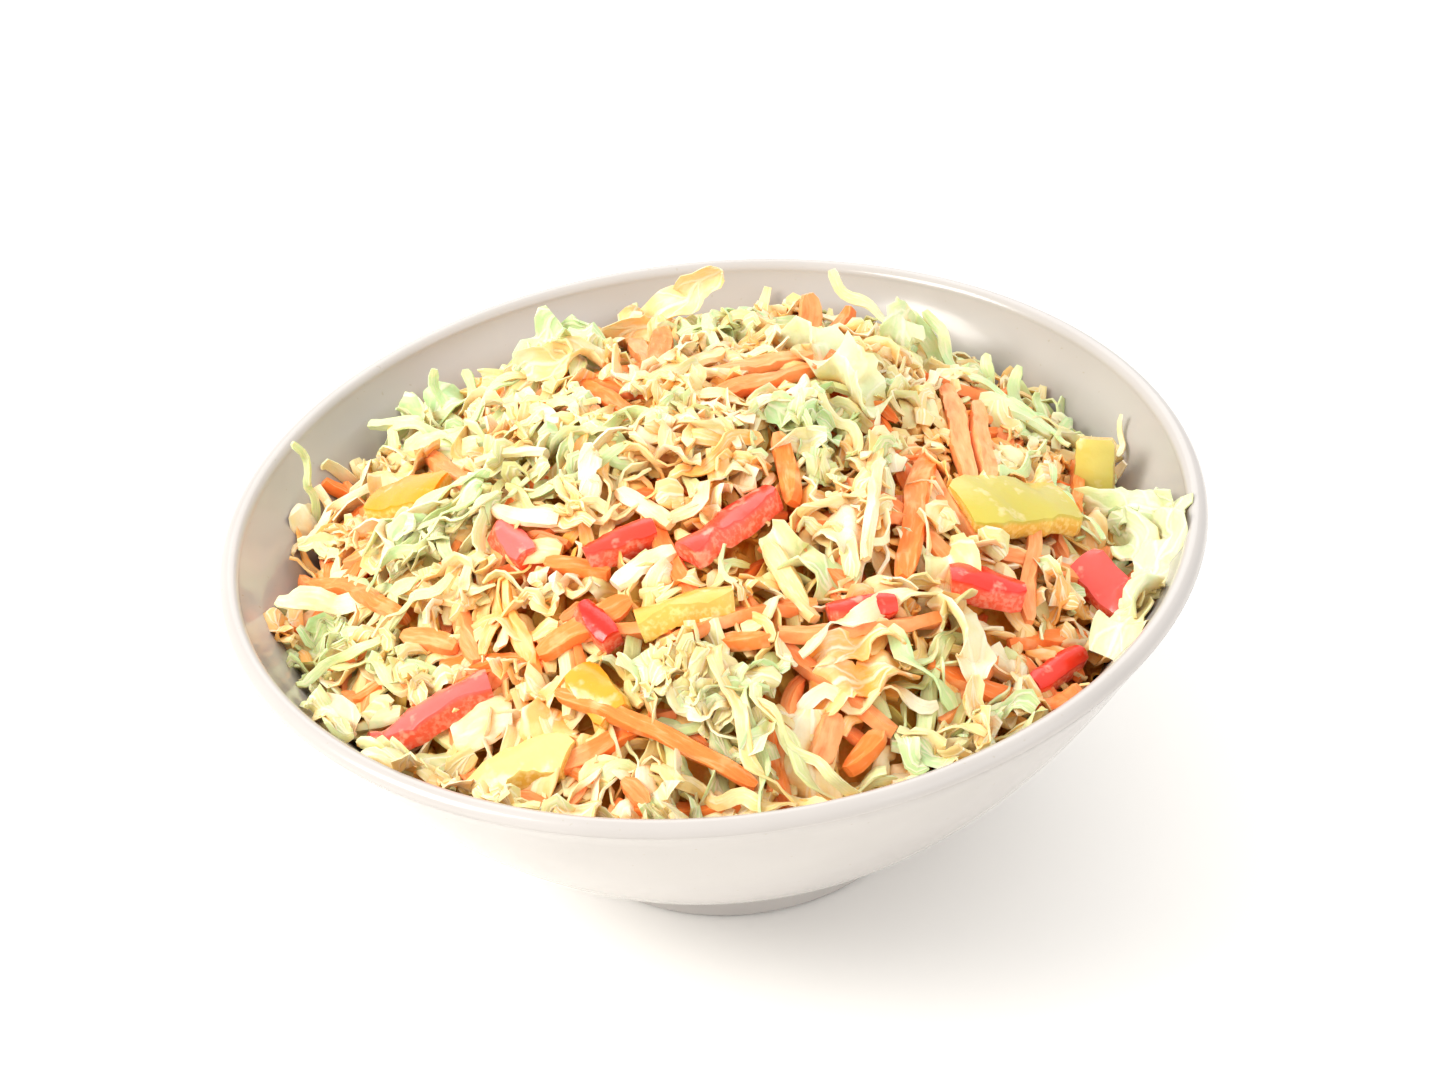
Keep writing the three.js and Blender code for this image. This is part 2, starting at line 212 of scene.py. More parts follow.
def bowlProfile(size):
    foot, width, bevel = size["footRadius"], size["footWidth"], size["bevel"]
    half = size["wall"] / 2
    lipTop = size["height"] - half
    lip = arcPoints((size["rimRadius"] + half, lipTop), half, 0, 180, size["lipSteps"])
    outside = wallPoints(size["wall"], size["wallSteps"], foot + 0.5, size["rimRadius"] - 0.6)
    outside = [p for p in outside if size["footHeight"] < p[1] < lipTop and p[0] < lip[0][0]]
    inside = wallPoints(0, size["wallSteps"], 3, size["rimRadius"])[::-1]
    inside = [p for p in inside if p[1] < lipTop]
    return [
        (0, size["recess"]),
        (foot - width - 2 * bevel, size["recess"]),
        *arcPoints((foot - width - 2 * bevel, size["recess"] - bevel), bevel, 90, 0, 3)[1:],
        *arcPoints((foot - width, bevel), bevel, 180, 270, 3),
        *arcPoints((foot - bevel, bevel), bevel, 270, 360, 4),
        (foot, size["footHeight"] - 0.6),
        (foot + 0.15, size["footHeight"] + 0.6),
        *outside,
        *lip,
        *inside,
        (0, size["floor"]),
    ]


def coreProfile(size):
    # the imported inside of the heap, under the loose pieces; its top is raised to the heap's form
    radius = size["edgeRadius"]
    below = wallPoints(-2 * size["bowlGap"], 14, 10, radius)
    below = [p for p in below if p[1] < size["edgeHeight"] - size["depth"]]
    rings = 30
    flat = size["crownHeight"] + 20
    above = [(below[-1][0] * (1 - i / rings), flat) for i in range(rings + 1)]
    return [(0, bowl["floor"] + 1.2), *below, *above]


def linkInputs(tree, inputs):
    # named inputs on a group, and the identifier of each, which a modifier's setting needs; an
    # input is given by its default, or by its kind where it has none
    identifiers = {}
    for name, value in inputs.items():
        kind = {int: "Int", float: "Float"}.get(type(value), value)
        socket = tree.interface.new_socket(name, in_out="INPUT", socket_type=f"NodeSocket{kind}")
        if kind != value:
            socket.default_value = value
        identifiers[name] = socket.identifier
    tree.interface.new_socket("Result", in_out="OUTPUT", socket_type="NodeSocketGeometry")
    return addNode(tree, "NodeGroupInput", output=None), identifiers


def finishTree(tree, body, material):
    body = addNode(tree, "GeometryNodeRealizeInstances", {"Geometry": body})
    body = addNode(tree, "GeometryNodeSetMaterial", {"Geometry": body, "Material": material})
    addNode(tree, "NodeGroupOutput", {0: body}, output=None)


def turnedTree():
    # a profile turned about Z: a grid of profile points by turns, closed at the seam and the poles
    tree = bpy.data.node_groups.new("turnedProfile", "GeometryNodeTree")
    inputs = {"Profile": "Geometry", "Sectors": 96, "Material": "Material"}
    given, identifiers = linkInputs(tree, inputs)
    count = addNode(
        tree, "GeometryNodeAttributeDomainSize", {0: given["Profile"]}, output="Point Count"
    )
    turns = addNode(tree, "ShaderNodeMath", (given["Sectors"], 1), operation="ADD")
    grid = addNode(tree, "GeometryNodeMeshGrid", {"Vertices X": turns, "Vertices Y": count})
    index = addNode(tree, "GeometryNodeInputIndex")
    sample = {
        "Geometry": given["Profile"],
        "Value": addNode(tree, "GeometryNodeInputPosition"),
        "Index": addNode(tree, "ShaderNodeMath", (index, count), operation="MODULO"),
    }
    onProfile = addNode(tree, "GeometryNodeSampleIndex", sample, data_type="FLOAT_VECTOR")
    turn = addNode(
        tree,
        "ShaderNodeMath",
        (addNode(tree, "ShaderNodeMath", (index, 0.5), operation="ADD"), count),
        operation="DIVIDE",
    )
    angle = addNode(
        tree,
        "ShaderNodeMath",
        (addNode(tree, "ShaderNodeMath", (turn,), operation="FLOOR"), given["Sectors"]),
        operation="DIVIDE",
    )
    angle = addNode(tree, "ShaderNodeMath", (angle, 2 * math.pi), operation="MULTIPLY")
    spin = {"Vector": onProfile, "Angle": angle}
    place = addNode(tree, "ShaderNodeVectorRotate", spin, rotation_type="Z_AXIS")
    body = addNode(tree, "GeometryNodeSetPosition", {"Geometry": grid, "Position": place})
    body = addNode(
        tree, "GeometryNodeMergeByDistance", {"Geometry": body, "Distance": 0.002 * mm}
    )
    body = addNode(tree, "GeometryNodeSetShadeSmooth", {"Geometry": body})
    finishTree(tree, body, given["Material"])
    return tree, identifiers


def baked(name, mesh, tree, identifiers, settings):
    # the mesh that a tree makes of another, as a plain mesh with no modifier
    holder = linked(name + "Source", mesh)
    modifier = holder.modifiers.new(tree.name, "NODES")
    modifier.node_group = tree
    for key, value in settings.items():
        modifier[identifiers[key]] = value
    evaluated = holder.evaluated_get(bpy.context.evaluated_depsgraph_get())
    result = bpy.data.meshes.new_from_object(evaluated)
    result.name = name
    holder.modifiers.remove(modifier)
    bpy.data.objects.remove(holder)
    return result


turned = turnedTree()


def turnedMesh(name, profile, sectors, material):
    mesh = bpy.data.meshes.new(name + "Profile")
    mesh.from_pydata([(r * mm, 0, z * mm) for r, z in profile], [], [])
    return baked(name, mesh, *turned, {"Sectors": sectors, "Material": material})


def addPiece(name, mesh, slotName, *replaced):
    piece = linked(name, mesh)
    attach(piece, "root")
    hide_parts(*replaced)


# ---- how loose pieces settle: each lies on what is there, and the whole keeps to the heap's form


def smooth(values, width):
    padded = np.pad(values, width // 2, mode="edge")
    return np.convolve(padded, np.ones(width) / width, mode="valid")


def unit(vectors):
    return vectors / np.linalg.norm(vectors, axis=1, keepdims=True)


def wavy(run, length, phase):
    return np.sin(2 * np.pi * run / length + phase)


def eased(values, limit, share):
    # keeps only a share of what is over a limit
    return np.minimum(values, limit) + share * np.maximum(values - limit, 0)


class Pile:
    def __init__(self, cell=0.8, half=80.0):
        self.cell, self.half = cell, half
        axis = np.arange(-half, half + cell, cell)
        self.x, self.y = np.meshgrid(axis, axis, indexing="ij")
        r = np.hypot(self.x, self.y)
        self.wall = np.where(r < bowl["rimRadius"], wallHeight(r), bowl["height"])
        top = topHeight(self.x, self.y) - heap["sunk"]
        self.form = np.where(r < heap["edgeRadius"], top, self.wall)
        self.height = np.maximum(self.form - heap["depth"], self.wall + 0.2)
        self.shown = np.zeros_like(self.height, bool)  # where a large piece is to stay in sight

    def cells(self, x, y):
        last = self.height.shape[0] - 1
        i = np.clip(np.rint((x + self.half) / self.cell), 0, last).astype(int)
        j = np.clip(np.rint((y + self.half) / self.cell), 0, last).astype(int)
        return i, j

    def raiseTo(self, points, top):
        np.maximum.at(self.height, self.cells(points[:, 0], points[:, 1]), top)


def pathOf(piece, phase):
    # the plan of a strip: an arc with a sway, about its middle
    count = max(5, int(piece["length"] / piece["step"]) + 1)
    s = np.linspace(-piece["length"] / 2, piece["length"] / 2, count)
    sway = piece["sway"] * wavy(s, piece["swayLength"], phase)
    turn = piece["heading"] + s * piece["curl"] + sway
    x = np.cumsum(np.cos(turn)) * (s[1] - s[0])
    y = np.cumsum(np.sin(turn)) * (s[1] - s[0])
    return s, x - x.mean() + piece["x"], y - y.mean() + piece["y"], turn


def halfWidths(rng, piece, s):
    # cut ends are nearly square, torn ones run out to a tip, and the sides are uneven
    share = np.abs(2 * s / piece["length"])
    body = piece["tip"] + (1 - piece["tip"]) * np.sqrt(np.clip(1 - share ** piece["blunt"], 0, 1))
    uneven = smooth(rng.uniform(-1, 1, len(s)), 3) * piece["uneven"]
    return 0.5 * piece["width"] * body * (1 + uneven)


greening = {"most": 0.85, "rarity": 2.2, "atSpot": 1.3, "rarityAtSpot": 0.35}


def strand(rng, points, up, half, s, piece):
    # deep is how far under the form a piece lies, and green how much leaf it has in it
    x, y, z = points.T
    drawn = rng.uniform(size=2)
    apart = [((x.mean() - gx) ** 2 + (y.mean() - gy) ** 2) / r**2 for gx, gy, r in greenSpots]
    near = greening["atSpot"] * math.exp(-min(apart)) * drawn[1] ** greening["rarityAtSpot"]
    green = greening["most"] * drawn[1] ** greening["rarity"] + near
    return {
        "points": points,
        "up": up,
        "side": np.cross(unit(np.gradient(points, axis=0)), up),
        "half": half,
        "run": s,
        "deep": topHeight(x, y) - z,
        "cup": piece["cup"],
        "tone": piece.get("tone", drawn[0]),
        "green": piece.get("green", min(1, green)),
    }


settling = {  # heights in millimetres
    "steepest": 0.8,  # the lean of a piece across its width
    "overWall": 0.3,
    "overCeiling": 0.2,  # the share kept of what would pass the ceiling
    "free": 2.5,  # an end raised by more than this carries nothing
    "proudest": 6,  # how far over the form a raised piece still carries others
    "reach": 71.0,  # how far out a dropped piece may lie
    "tries": 6,
    "shorter": 0.92,  # at each new try
    "rounds": 200,
    "spots": 20,  # in each round
}


def settle(rng, pile, piece):
    # returns the middle line, the way its face looks and its half width, and raises the pile
    phases = rng.uniform(0, 2 * np.pi, 4)
    s, x, y, turn = pathOf(piece, phases[0])
    half = halfWidths(rng, piece, s)
    sideX, sideY = -np.sin(turn), np.cos(turn)
    ways = (-1, -0.5, 0, 0.5, 1)
    tracks = [pile.height[pile.cells(x + sideX * half * k, y + sideY * half * k)] for k in ways]
    lean = (tracks[4] - tracks[0]) / np.maximum(2 * half, 1.2)
    lean = np.clip(lean, -settling["steepest"], settling["steepest"])
    lean = smooth(lean, 5) * piece["hug"]
    under = 0.5 * np.max(tracks, axis=0) + 0.5 * np.mean(tracks, axis=0) - piece["sink"]
    bridge = piece["stiff"] * (s[:, None] - s[None, :]) ** 2
    z = smooth(np.max(under[None, :] - bridge, axis=1), 3)
    form = pile.form[pile.cells(x, y)]
    z = eased(z, smooth(form, 3) + piece["proud"] - piece["thickness"] / 2, piece["spring"])
    roll = piece["roll"] + piece["twist"] * wavy(s, piece["twistLength"], phases[1])
    z = z + piece["thickness"] / 2 + half * np.abs(np.sin(roll)) * 0.6
    z = z + piece["wave"] * wavy(s, piece["waveLength"], phases[2])
    free = np.clip((s / piece["length"] + 0.5 - piece["freeFrom"]) / (1 - piece["freeFrom"]), 0, 1)
    rise = piece["lift"] * free**2
    z = eased(z + rise, heap["ceiling"], settling["overCeiling"])
    r = np.hypot(x, y)
    wall = np.where(r < bowl["rimRadius"], wallHeight(r), bowl["height"])
    z = np.maximum(z, wall + piece["thickness"] / 2 + settling["overWall"])
    points = np.stack([x, y, z], axis=1)
    along = unit(np.gradient(points, axis=0))
    level = np.stack([sideX, sideY, lean], axis=1)
    level = unit(level - along * np.sum(level * along, axis=1, keepdims=True))
    face = np.cross(along, level)
    up = np.cos(roll)[:, None] * face + np.sin(roll)[:, None] * level
    across = np.cross(up, along)
    lying = rise < settling["free"]
    for k in np.linspace(-1, 1, max(3, int(piece["width"] / pile.cell) + 1)):
        edge = (points + across * (half * k)[:, None])[lying]
        pile.raiseTo(edge, edge[:, 2] + piece["thickness"] / 2)
        if piece["shown"]:
            pile.shown[pile.cells(edge[:, 0], edge[:, 1])] = True
    return strand(rng, points, up, half, s, piece)


def raised(rng, pile, piece, through):
    # a proud piece bent through set points, its face turned to one side
    knots = np.array(through, float)
    spans = np.linalg.norm(np.diff(knots, axis=0), axis=1)
    lengths = np.concatenate([[0], np.cumsum(spans)])
    piece["length"] = lengths[-1]
    count = int(lengths[-1] / piece["step"]) + 2
    at = np.linspace(0, lengths[-1], count * 2)
    bent = [smooth(np.interp(at, lengths, knots[:, k]), 7) for k in range(3)]
    points = np.stack(bent, axis=1)[::2]
    s = np.linspace(-0.5, 0.5, len(points)) * lengths[-1]
    phases = rng.uniform(0, 2 * np.pi, 3)
    points[:, 0] += piece["wave"] * wavy(s, piece["waveLength"], phases[0])
    points[:, 2] += piece["wave"] * wavy(s, piece["waveLength"], phases[1])
    along = unit(np.gradient(points, axis=0))
    facing = np.array(piece["facing"], float)
    up = unit(facing - along * (along @ facing)[:, None])
    side = np.cross(up, along)
    roll = piece["twist"] * wavy(s, piece["twistLength"], phases[2])
    up = np.cos(roll)[:, None] * up + np.sin(roll)[:, None] * side
    half = halfWidths(rng, piece, s)
    form = pile.form[pile.cells(points[:, 0], points[:, 1])]
    lying = points[:, 2] < form + settling["proudest"]
    for k in (-1, 0, 1):
        edge = (points + side * (half * k)[:, None])[lying]
        pile.raiseTo(edge, edge[:, 2] + piece["thickness"] / 2)
        pile.shown[pile.cells(edge[:, 0], edge[:, 1])] = True
    return strand(rng, points, up, half, s, piece)


plain = dict(  # what a piece has unless its kind says otherwise; angles are in radians
    step=1.2, sway=0.3, swayLength=14, curl=0.0, hug=0.8, sink=0.4, proud=0.6,
    spring=0.25,  # the share that a piece keeps of what it stands over the form
    stiff=0.05, roll=0.0, rollSpread=0.4, twist=0.3, twistLength=20, wave=0.2, waveLength=8,
    freeFrom=0.5, lift=0.0, tip=0.4, blunt=6, uneven=0.15, cup=0.0, shown=False,
    mayCover=0.06,  # the share of its length that may lie over a piece kept in sight
    facing=(0, -0.5, 0.85),
)

kinds = {
    "frizz": dict(  # hair-fine shreds from the thin part of the leaf
        length=(8, 22), width=(0.7, 1.4), thickness=0.5, curl=0.12, sway=0.7, swayLength=(5, 10),
        rollSpread=0.9, twist=0.9, twistLength=(8, 15), wave=0.5, waveLength=(5, 9), stiff=0.12,
        step=1.1, proud=1.2, freeEnds=(0.35, 3.5),
    ),
    "ribbon": dict(  # knife-cut shreds across the leaf
        length=(12, 32), width=(1.5, 3.0), thickness=0.6, curl=0.08, sway=0.5, swayLength=(7, 15),
        rollSpread=0.7, twist=0.7, twistLength=(12, 24), wave=0.7, waveLength=(7, 12), stiff=0.08,
        tip=0.55, uneven=0.22, proud=1.4, freeEnds=(0.35, 4.0),
    ),
    "flake": dict(  # small curled scraps
        length=(6, 13), width=(2.6, 4.6), thickness=0.45, curl=0.1, sway=0.4, swayLength=(7, 12),
        rollSpread=0.7, twist=0.6, twistLength=(8, 16), wave=0.8, waveLength=(5, 9), stiff=0.1,
        sink=0.8, tip=0.55, blunt=7, uneven=0.3, cupRange=1.3, proud=1.2, freeEnds=(0.45, 3.0),
    ),
    "leafy": dict(  # broad thin scraps
        length=(12, 20), width=(5, 8.5), thickness=0.45, curl=0.05, sway=0.25,
        swayLength=(10, 16), rollSpread=0.5, twist=0.6, twistLength=(12, 22), wave=0.9,
        waveLength=(6, 10), stiff=0.08, sink=0.8, tip=0.6, uneven=0.25, step=0.9, proud=1.0,
        cupRange=2.4, freeEnds=(0.5, 3.0),
    ),
    "curl": dict(  # tight curls from the crinkled edge of the leaf
        length=(7, 12), width=(2.4, 4.0), thickness=0.5, curl=0.25, sway=0.5, swayLength=(4, 7),
        rollSpread=0.8, twist=0.8, twistLength=(5, 9), wave=0.9, waveLength=(3, 5), stiff=0.1,
        step=0.7, tip=0.6, uneven=0.3, proud=2.0, freeEnds=(0.3, 2.0),
    ),
    "bit": dict(  # short cuts that fall into the gaps
        length=(3.5, 7.5), width=(1.8, 3.4), thickness=0.7, curl=0.15, sway=0.3,
        swayLength=(5, 8), rollSpread=0.5, twist=0.4, twistLength=(8, 14), wave=0.3,
        waveLength=(5, 8), step=0.9, tip=0.7, blunt=8, uneven=0.25, freeEnds=(0.2, 1.0),
    ),
    "chip": dict(  # short ends of the carrot strips
        length=(4, 9), width=(1.6, 2.8), thickness=1.3, curl=0.05, sway=0.1, swayLength=(8, 12),
        rollSpread=0.5, twist=0.3, twistLength=(10, 16), wave=0.1, waveLength=(5, 8), tip=0.5,
        blunt=4, freeEnds=(0.2, 1.0),
    ),
    "rib": dict(  # firm juicy cuts of the leaf's rib
        length=(8, 22), width=(2.0, 3.8), thickness=1.5, curl=0.03, sway=0.12,
        swayLength=(14, 22), twist=0.25, twistLength=(20, 30), wave=0.15, waveLength=(9, 14),
        stiff=0.03, tip=0.6, blunt=4, freeEnds=(0.2, 2.0),
    ),
    "carrot": dict(  # strips from a coarse grater
        length=(12, 28), width=(2.2, 3.4), thickness=1.9, curl=0.025, sway=0.08,
        swayLength=(16, 24), twist=0.25, twistLength=(24, 40), wave=0.1, waveLength=(9, 14),
        stiff=0.012, tip=0.45, blunt=4, uneven=0.12, freeEnds=(0.2, 2.5),
    ),
}


def drawPiece(rng, kind, x, y):
    # one piece of a kind, with its own draw for each range
    drawn = dict(plain)
    for key, value in kind.items():
        drawn[key] = rng.uniform(*value) if isinstance(value, tuple) else value
    drawn["heading"] = rng.uniform(0, 2 * np.pi)
    drawn["curl"] *= rng.uniform(-1, 1)
    drawn["roll"] = rng.normal(0, drawn["rollSpread"])
    drawn["cup"] = kind.get("cupRange", 0) * rng.uniform(-1, 1)
    share, most = kind["freeEnds"]
    drawn["lift"] = most * rng.uniform(0.2, 1) if rng.uniform() < share else 0
    drawn["freeFrom"] = rng.uniform(0.45, 0.75)
    drawn["x"], drawn["y"] = x, y
    return drawn


def fits(pile, piece, reach=settling["reach"]):
    # inside the bowl and not over a piece that is to be seen
    _, x, y, turn = pathOf(piece, 0.0)
    covered = 0
    for aside in (-0.5 * piece["width"], 0, 0.5 * piece["width"]):
        across = pile.cells(x - np.sin(turn) * aside, y + np.cos(turn) * aside)
        covered = max(covered, np.mean(pile.shown[across]))
    return covered < piece["mayCover"] and np.max(np.hypot(x, y)) < reach


def fillUp(rng, pile, made, shares, until, most, leastCells, own=None):
    # drops drawn pieces where the heap is lowest, until it has its form but for this much
    names = list(shares)
    odds = np.array([shares[n] for n in names], float)
    odds /= odds.sum()
    dropped = 0
    for _ in range(settling["rounds"]):
        want = np.where(pile.shown, 0, pile.form - pile.height)
        want = np.where(want > until, want**2, 0).ravel()
        if dropped >= most or np.count_nonzero(want) < leastCells:
            break
        for spot in rng.choice(want.size, settling["spots"], p=want / want.sum()):
            i, j = divmod(int(spot), pile.height.shape[1])
            name = names[rng.choice(len(names), p=odds)]
            piece = drawPiece(rng, kinds[name], pile.x[i, j], pile.y[i, j])
            piece.update(own or {})
            for _ in range(settling["tries"]):
                if fits(pile, piece):
                    made[name].append(settle(rng, pile, piece))
                    dropped += 1
                    break
                piece["heading"] = rng.uniform(0, 2 * np.pi)
                piece["length"] *= settling["shorter"]
    lack = (pile.form - pile.height)[np.hypot(pile.x, pile.y) < heap["edgeRadius"]]
    shares = np.percentile(lack, (5, 50, 95)).round(2)
    print(f"{dropped} dropped; form less pile, 5/50/95%:", shares)


def middling(kind):
    # the middle of each range of a kind
    return {key: sum(v) / 2 if isinstance(v, tuple) else v for key, v in kind.items()}


def placed(kind, x0, y0, x1, y1, width, own=None):
    # a piece whose place is set, by its two ends in plan
    piece = {**plain, **middling(kind), "width": width}
    piece["length"] = math.hypot(x1 - x0, y1 - y0)
    piece["heading"] = math.atan2(y1 - y0, x1 - x0)
    piece["x"], piece["y"] = (x0 + x1) / 2, (y0 + y1) / 2
    return {**piece, "curl": 0, "shown": True, "freeFrom": 0.3, "proud": 2.0, **(own or {})}


carrotPlaces = [  # x and y of the near end and the far end, width
    (-67, 5, -48, -21, 2.8),
    (-27, -38, -13, -34, 4.2),
    (28, -32, 35, -2, 4),
    (41, 22, 41, -9, 3.4),
    (45, 18, 44, -8, 3.2),
    (46, -34, 50, -14, 2.6, {"lift": 3}),
    (2, 7, 19, 15, 3.2),
    (0, 15, 19, 20, 3),
    (20, 38, 28, 51, 3, {"lift": 6}),
    (-41, 50, -29, 30, 3),
    (-19, 21, -9, 3, 3),
    (-47, 26, -36, -1, 3),
    (13, -19, 12, -5, 3.4, {"lift": 1}),
    (12, -60, 15, -53, 4.4),
    (16, -60, 22, -55, 3.6),
    (-16, -58, -13, -62, 3),
    (-48, -24, -40, -31, 3.4),
    (60, 11, 58, -7, 2.2, {"lift": 2}),
    (-10, 44, -7, 19, 3.4),
    (0, -44, 7, -45, 3, {"proud": 4}),
    (-61, 31, -57, 21, 2.2),
    (-6, 20, -5, 38, 4, {"lift": 2}),
    (-25, -22, -16, -28, 3),
]

redPlaces = [
    (-3.9, -29, 9.4, -16.5, 5.6, {"roll": 0.45, "tone": 0.62, "proud": 3}),
    (-19, -25, -8.5, -22, 4.2, {"roll": 0.3, "tone": 0.45, "proud": 1.8}),
    (-54, -42, -35, -38.5, 5.6, {"roll": 0.4, "tone": 0.9, "proud": 2.6}),
    (35, -30.5, 45.5, -31, 7, {"roll": 0.5, "tone": 0.15, "proud": 2.4}),
    (56.5, -19, 63, -27, 7, {"roll": -0.4, "tone": 0.8, "proud": 3}),
    (-32, -13, -28, -21, 4.5, {"roll": 0.2, "tone": 1.0}),
    (-20, -33.5, -16, -40.5, 3.8, {"roll": 0.3, "tone": 0.0}),
    (45, -44, 53.5, -36, 3.6, {"roll": 0.2, "tone": 0.3}),
    (16, -39, 26, -37, 3.6, {"tone": 0.4}),
]
yellowPlaces = [
    (
        38.5, -16.5, 55.5, -9.5, 12.5,
        {"thickness": 3.4, "roll": 0.2, "tone": 0.66, "uneven": 0.2, "proud": 3},
    ),
    (-53, 9, -42, 2, 9, {"roll": 0.3, "tone": 0, "proud": 3}),
    (-38.5, -54, -23.5, -51.5, 7, {"curl": -0.09, "tone": 1.0}),
    (-12, -39.5, 2, -37.5, 5.5, {"roll": 0.3, "tone": 0.33, "proud": 2.6}),
    (-21.5, -42.5, -16.5, -51, 6, {"tone": 0.1, "proud": 2.4}),
]
pepperCut = dict(
    thickness=3.6, stiff=0.006, sway=0, twist=0, wave=0, blunt=12, tip=0.8, sink=0.8, hug=1,
    cup=-0.7, uneven=0.08,
)

leafPlaces = [
    (18, 29, 27, 2, 9, {"cup": 3.5, "green": 0.55, "tone": 1.0}),
    (12, -51, 27, -47, 7, {"cup": 0.8, "green": 0, "tone": 0.05, "proud": 1.6}),
    (13, -46, 27, -42, 5, {"cup": 1, "green": 0, "tone": 0.1, "proud": 1.6}),
    (33.2, -33, 37.2, -47, 6, {"cup": 1.5, "green": 0.3, "tone": 0.9, "proud": 2.6}),
    (57, -42, 66, -27, 8, {"cup": 1, "green": 0.6}),
    (9, -24, 18, -35, 7, {"cup": 1.5, "green": 0.9}),
    (-61, -31, -50, -36, 6, {"cup": 1, "green": 0.5}),
    (-54, 14, -43, 22, 8, {"cup": 1.5, "green": 0.3}),
]
ribPlaces = [
    (-31, -18, -23, -21, 4.5),
    (-15, -31, -6, -26, 4.2, {"tone": 0.7, "green": 0}),
    (-57, -34, -49, -36, 4.5),
    (8, -26, 14, -40, 3.4),
    (-41, -44, -32, -43.5, 7, {"tone": 0.8, "green": 0}),
    (-13, -13, -6, -22, 3.6, {"tone": 0.9, "green": 0.1}),
]
shredPlaces = [
    (-33, 12, -53, 38, 2.8, {"lift": 3}),
    (-40, -27, -24, -35, 2.6),
    (-56, -10, -64, 12, 2.2, {"lift": 3}),
    (24, 50, 39, 26, 4.2, {"lift": 2}),
    (10.2, -46.5, 34, -32.7, 3.8, {"tone": 0.85, "green": 0.45, "proud": 3.2}),
    (6.5, -53, 31, -50.8, 2.6, {"tone": 0.8, "green": 0.1, "proud": 3}),
    (24, -42.5, 32.5, -51.5, 3.6, {"green": 1.0, "proud": 3.6}),
    (3, -43, 10, -36.5, 3.4, {"green": 0.5, "tone": 0.9, "proud": 2.6}),
]

proudShreds = [  # shreds that stand out of the heap: width and the points that they pass
    (1.6, [(4, 46, 60), (7, 47, 64), (5.9, 48, 67)]),
    (1.4, [(9, 44, 58), (8, 46, 64), (10, 47, 67)]),
    (2.6, [(37, 40, 64), (32, 45, 65), (28, 47, 67), (24, 51, 71)], {"green": 0.5, "tone": 0.8}),
    (4.4, [(-7, 34, 64), (-5.5, 39, 67), (-4.8, 44, 69.5)], {"tone": 0.0, "green": 0}),
    (3.0, [(42, 38, 56), (39, 42, 62), (37, 45, 66)], {"green": 0.9}),
    (2.6, [(45, 34, 55), (42, 40, 62), (40, 44, 66)], {"green": 0.9}),
    (2.4, [(-42, 36, 56), (-43.5, 39, 61), (-44, 41, 66)], {"green": 1.0}),
    (2.4, [(-38, 36, 57), (-38.5, 39, 61), (-38, 41, 66)], {"green": 1.0}),
    (3.4, [(-36, 22, 62), (-44, 26, 62), (-51, 30, 63)], {"green": 0.9}),
    (1.8, [(-65, 20, 49), (-65.5, 22, 54), (-65, 21, 60), (-66, 20, 68)], {"green": 0.9}),
    (4.2, [(-53, -12, 56), (-62, -10, 56), (-70, -8.5, 57)], {"green": 0.4, "tone": 0.9}),
    (2.2, [(49, 30, 54), (48.5, 33, 59), (50, 35, 62)], {"green": 0.8}),
    (2.4, [(54, 26, 52), (53, 30, 57), (54, 32, 60)], {"green": 0.9}),
    (2.0, [(58, 22, 50), (56, 26, 54), (57, 28, 58)], {"green": 0.9}),
    (1.2, [(67, 12, 52), (69, 16, 54), (69, 19, 57)], {"green": 0.4}),
]
proudLeaves = [
    (
        5.6, [(-26, 46, 59), (-14, 49, 62), (-4, 50, 66), (1, 50, 70), (6.5, 50, 74.5)],
        {"cup": 1.6, "tone": 0.5, "green": 0, "facing": (-0.5, -0.8, 0.4)},
    ),
    (8, [(59, -2, 52), (64, -4, 54), (69, -8, 56), (73, -12, 59)], {"facing": (-0.3, -0.6, 0.75)}),
    (
        7.5, [(72, -10, 58), (70.5, -18, 57.5), (66, -26, 55.5), (61, -32, 54)],
        {"facing": (-0.6, -0.3, 0.75)},
    ),
    (7, [(64, -4, 53), (66, -12, 54.5), (65, -19, 54)], {"facing": (-0.4, -0.5, 0.75)}),
    (6.5, [(67, -26, 56), (63, -33, 55), (57, -40, 54.5)], {"facing": (-0.5, -0.4, 0.75)}),
    (
        6, [(-30, 38, 62), (-26, 44, 66), (-22, 46, 70.5)],
        {"green": 0.95, "tone": 0.6, "facing": (0.2, -0.8, 0.5)},
    ),
    (
        5, [(-22, 42, 62), (-20, 46, 67), (-17, 44, 69)],
        {"green": 0.95, "tone": 0.6, "facing": (-0.3, -0.8, 0.5)},
    ),
    (7, [(36, 34, 62), (35, 40, 66), (38, 43, 67)], {"facing": (0.1, -0.8, 0.6)}),
]
proudCarrots = [
    (
        2.8,
        [(-25, -44.5, 60), (-17.5, -50.8, 60.6), (-10.5, -55.3, 59.4), (-3.6, -59.2, 57)]
        + [(3.4, -63.4, 53.4)],
        {"tone": 0.1, "wave": 0.1},
    ),
    (4.2, [(18, 36, 62), (19.5, 41, 66), (20.5, 44.5, 71)]),
]
proudYellow = [
    (
        6.5, [(61.5, 3.5, 50), (62.3, 5, 54), (63.3, 8, 60.5)],
        {"tone": 0.8, "facing": (-0.2, -0.9, 0.4)},
    ),
]

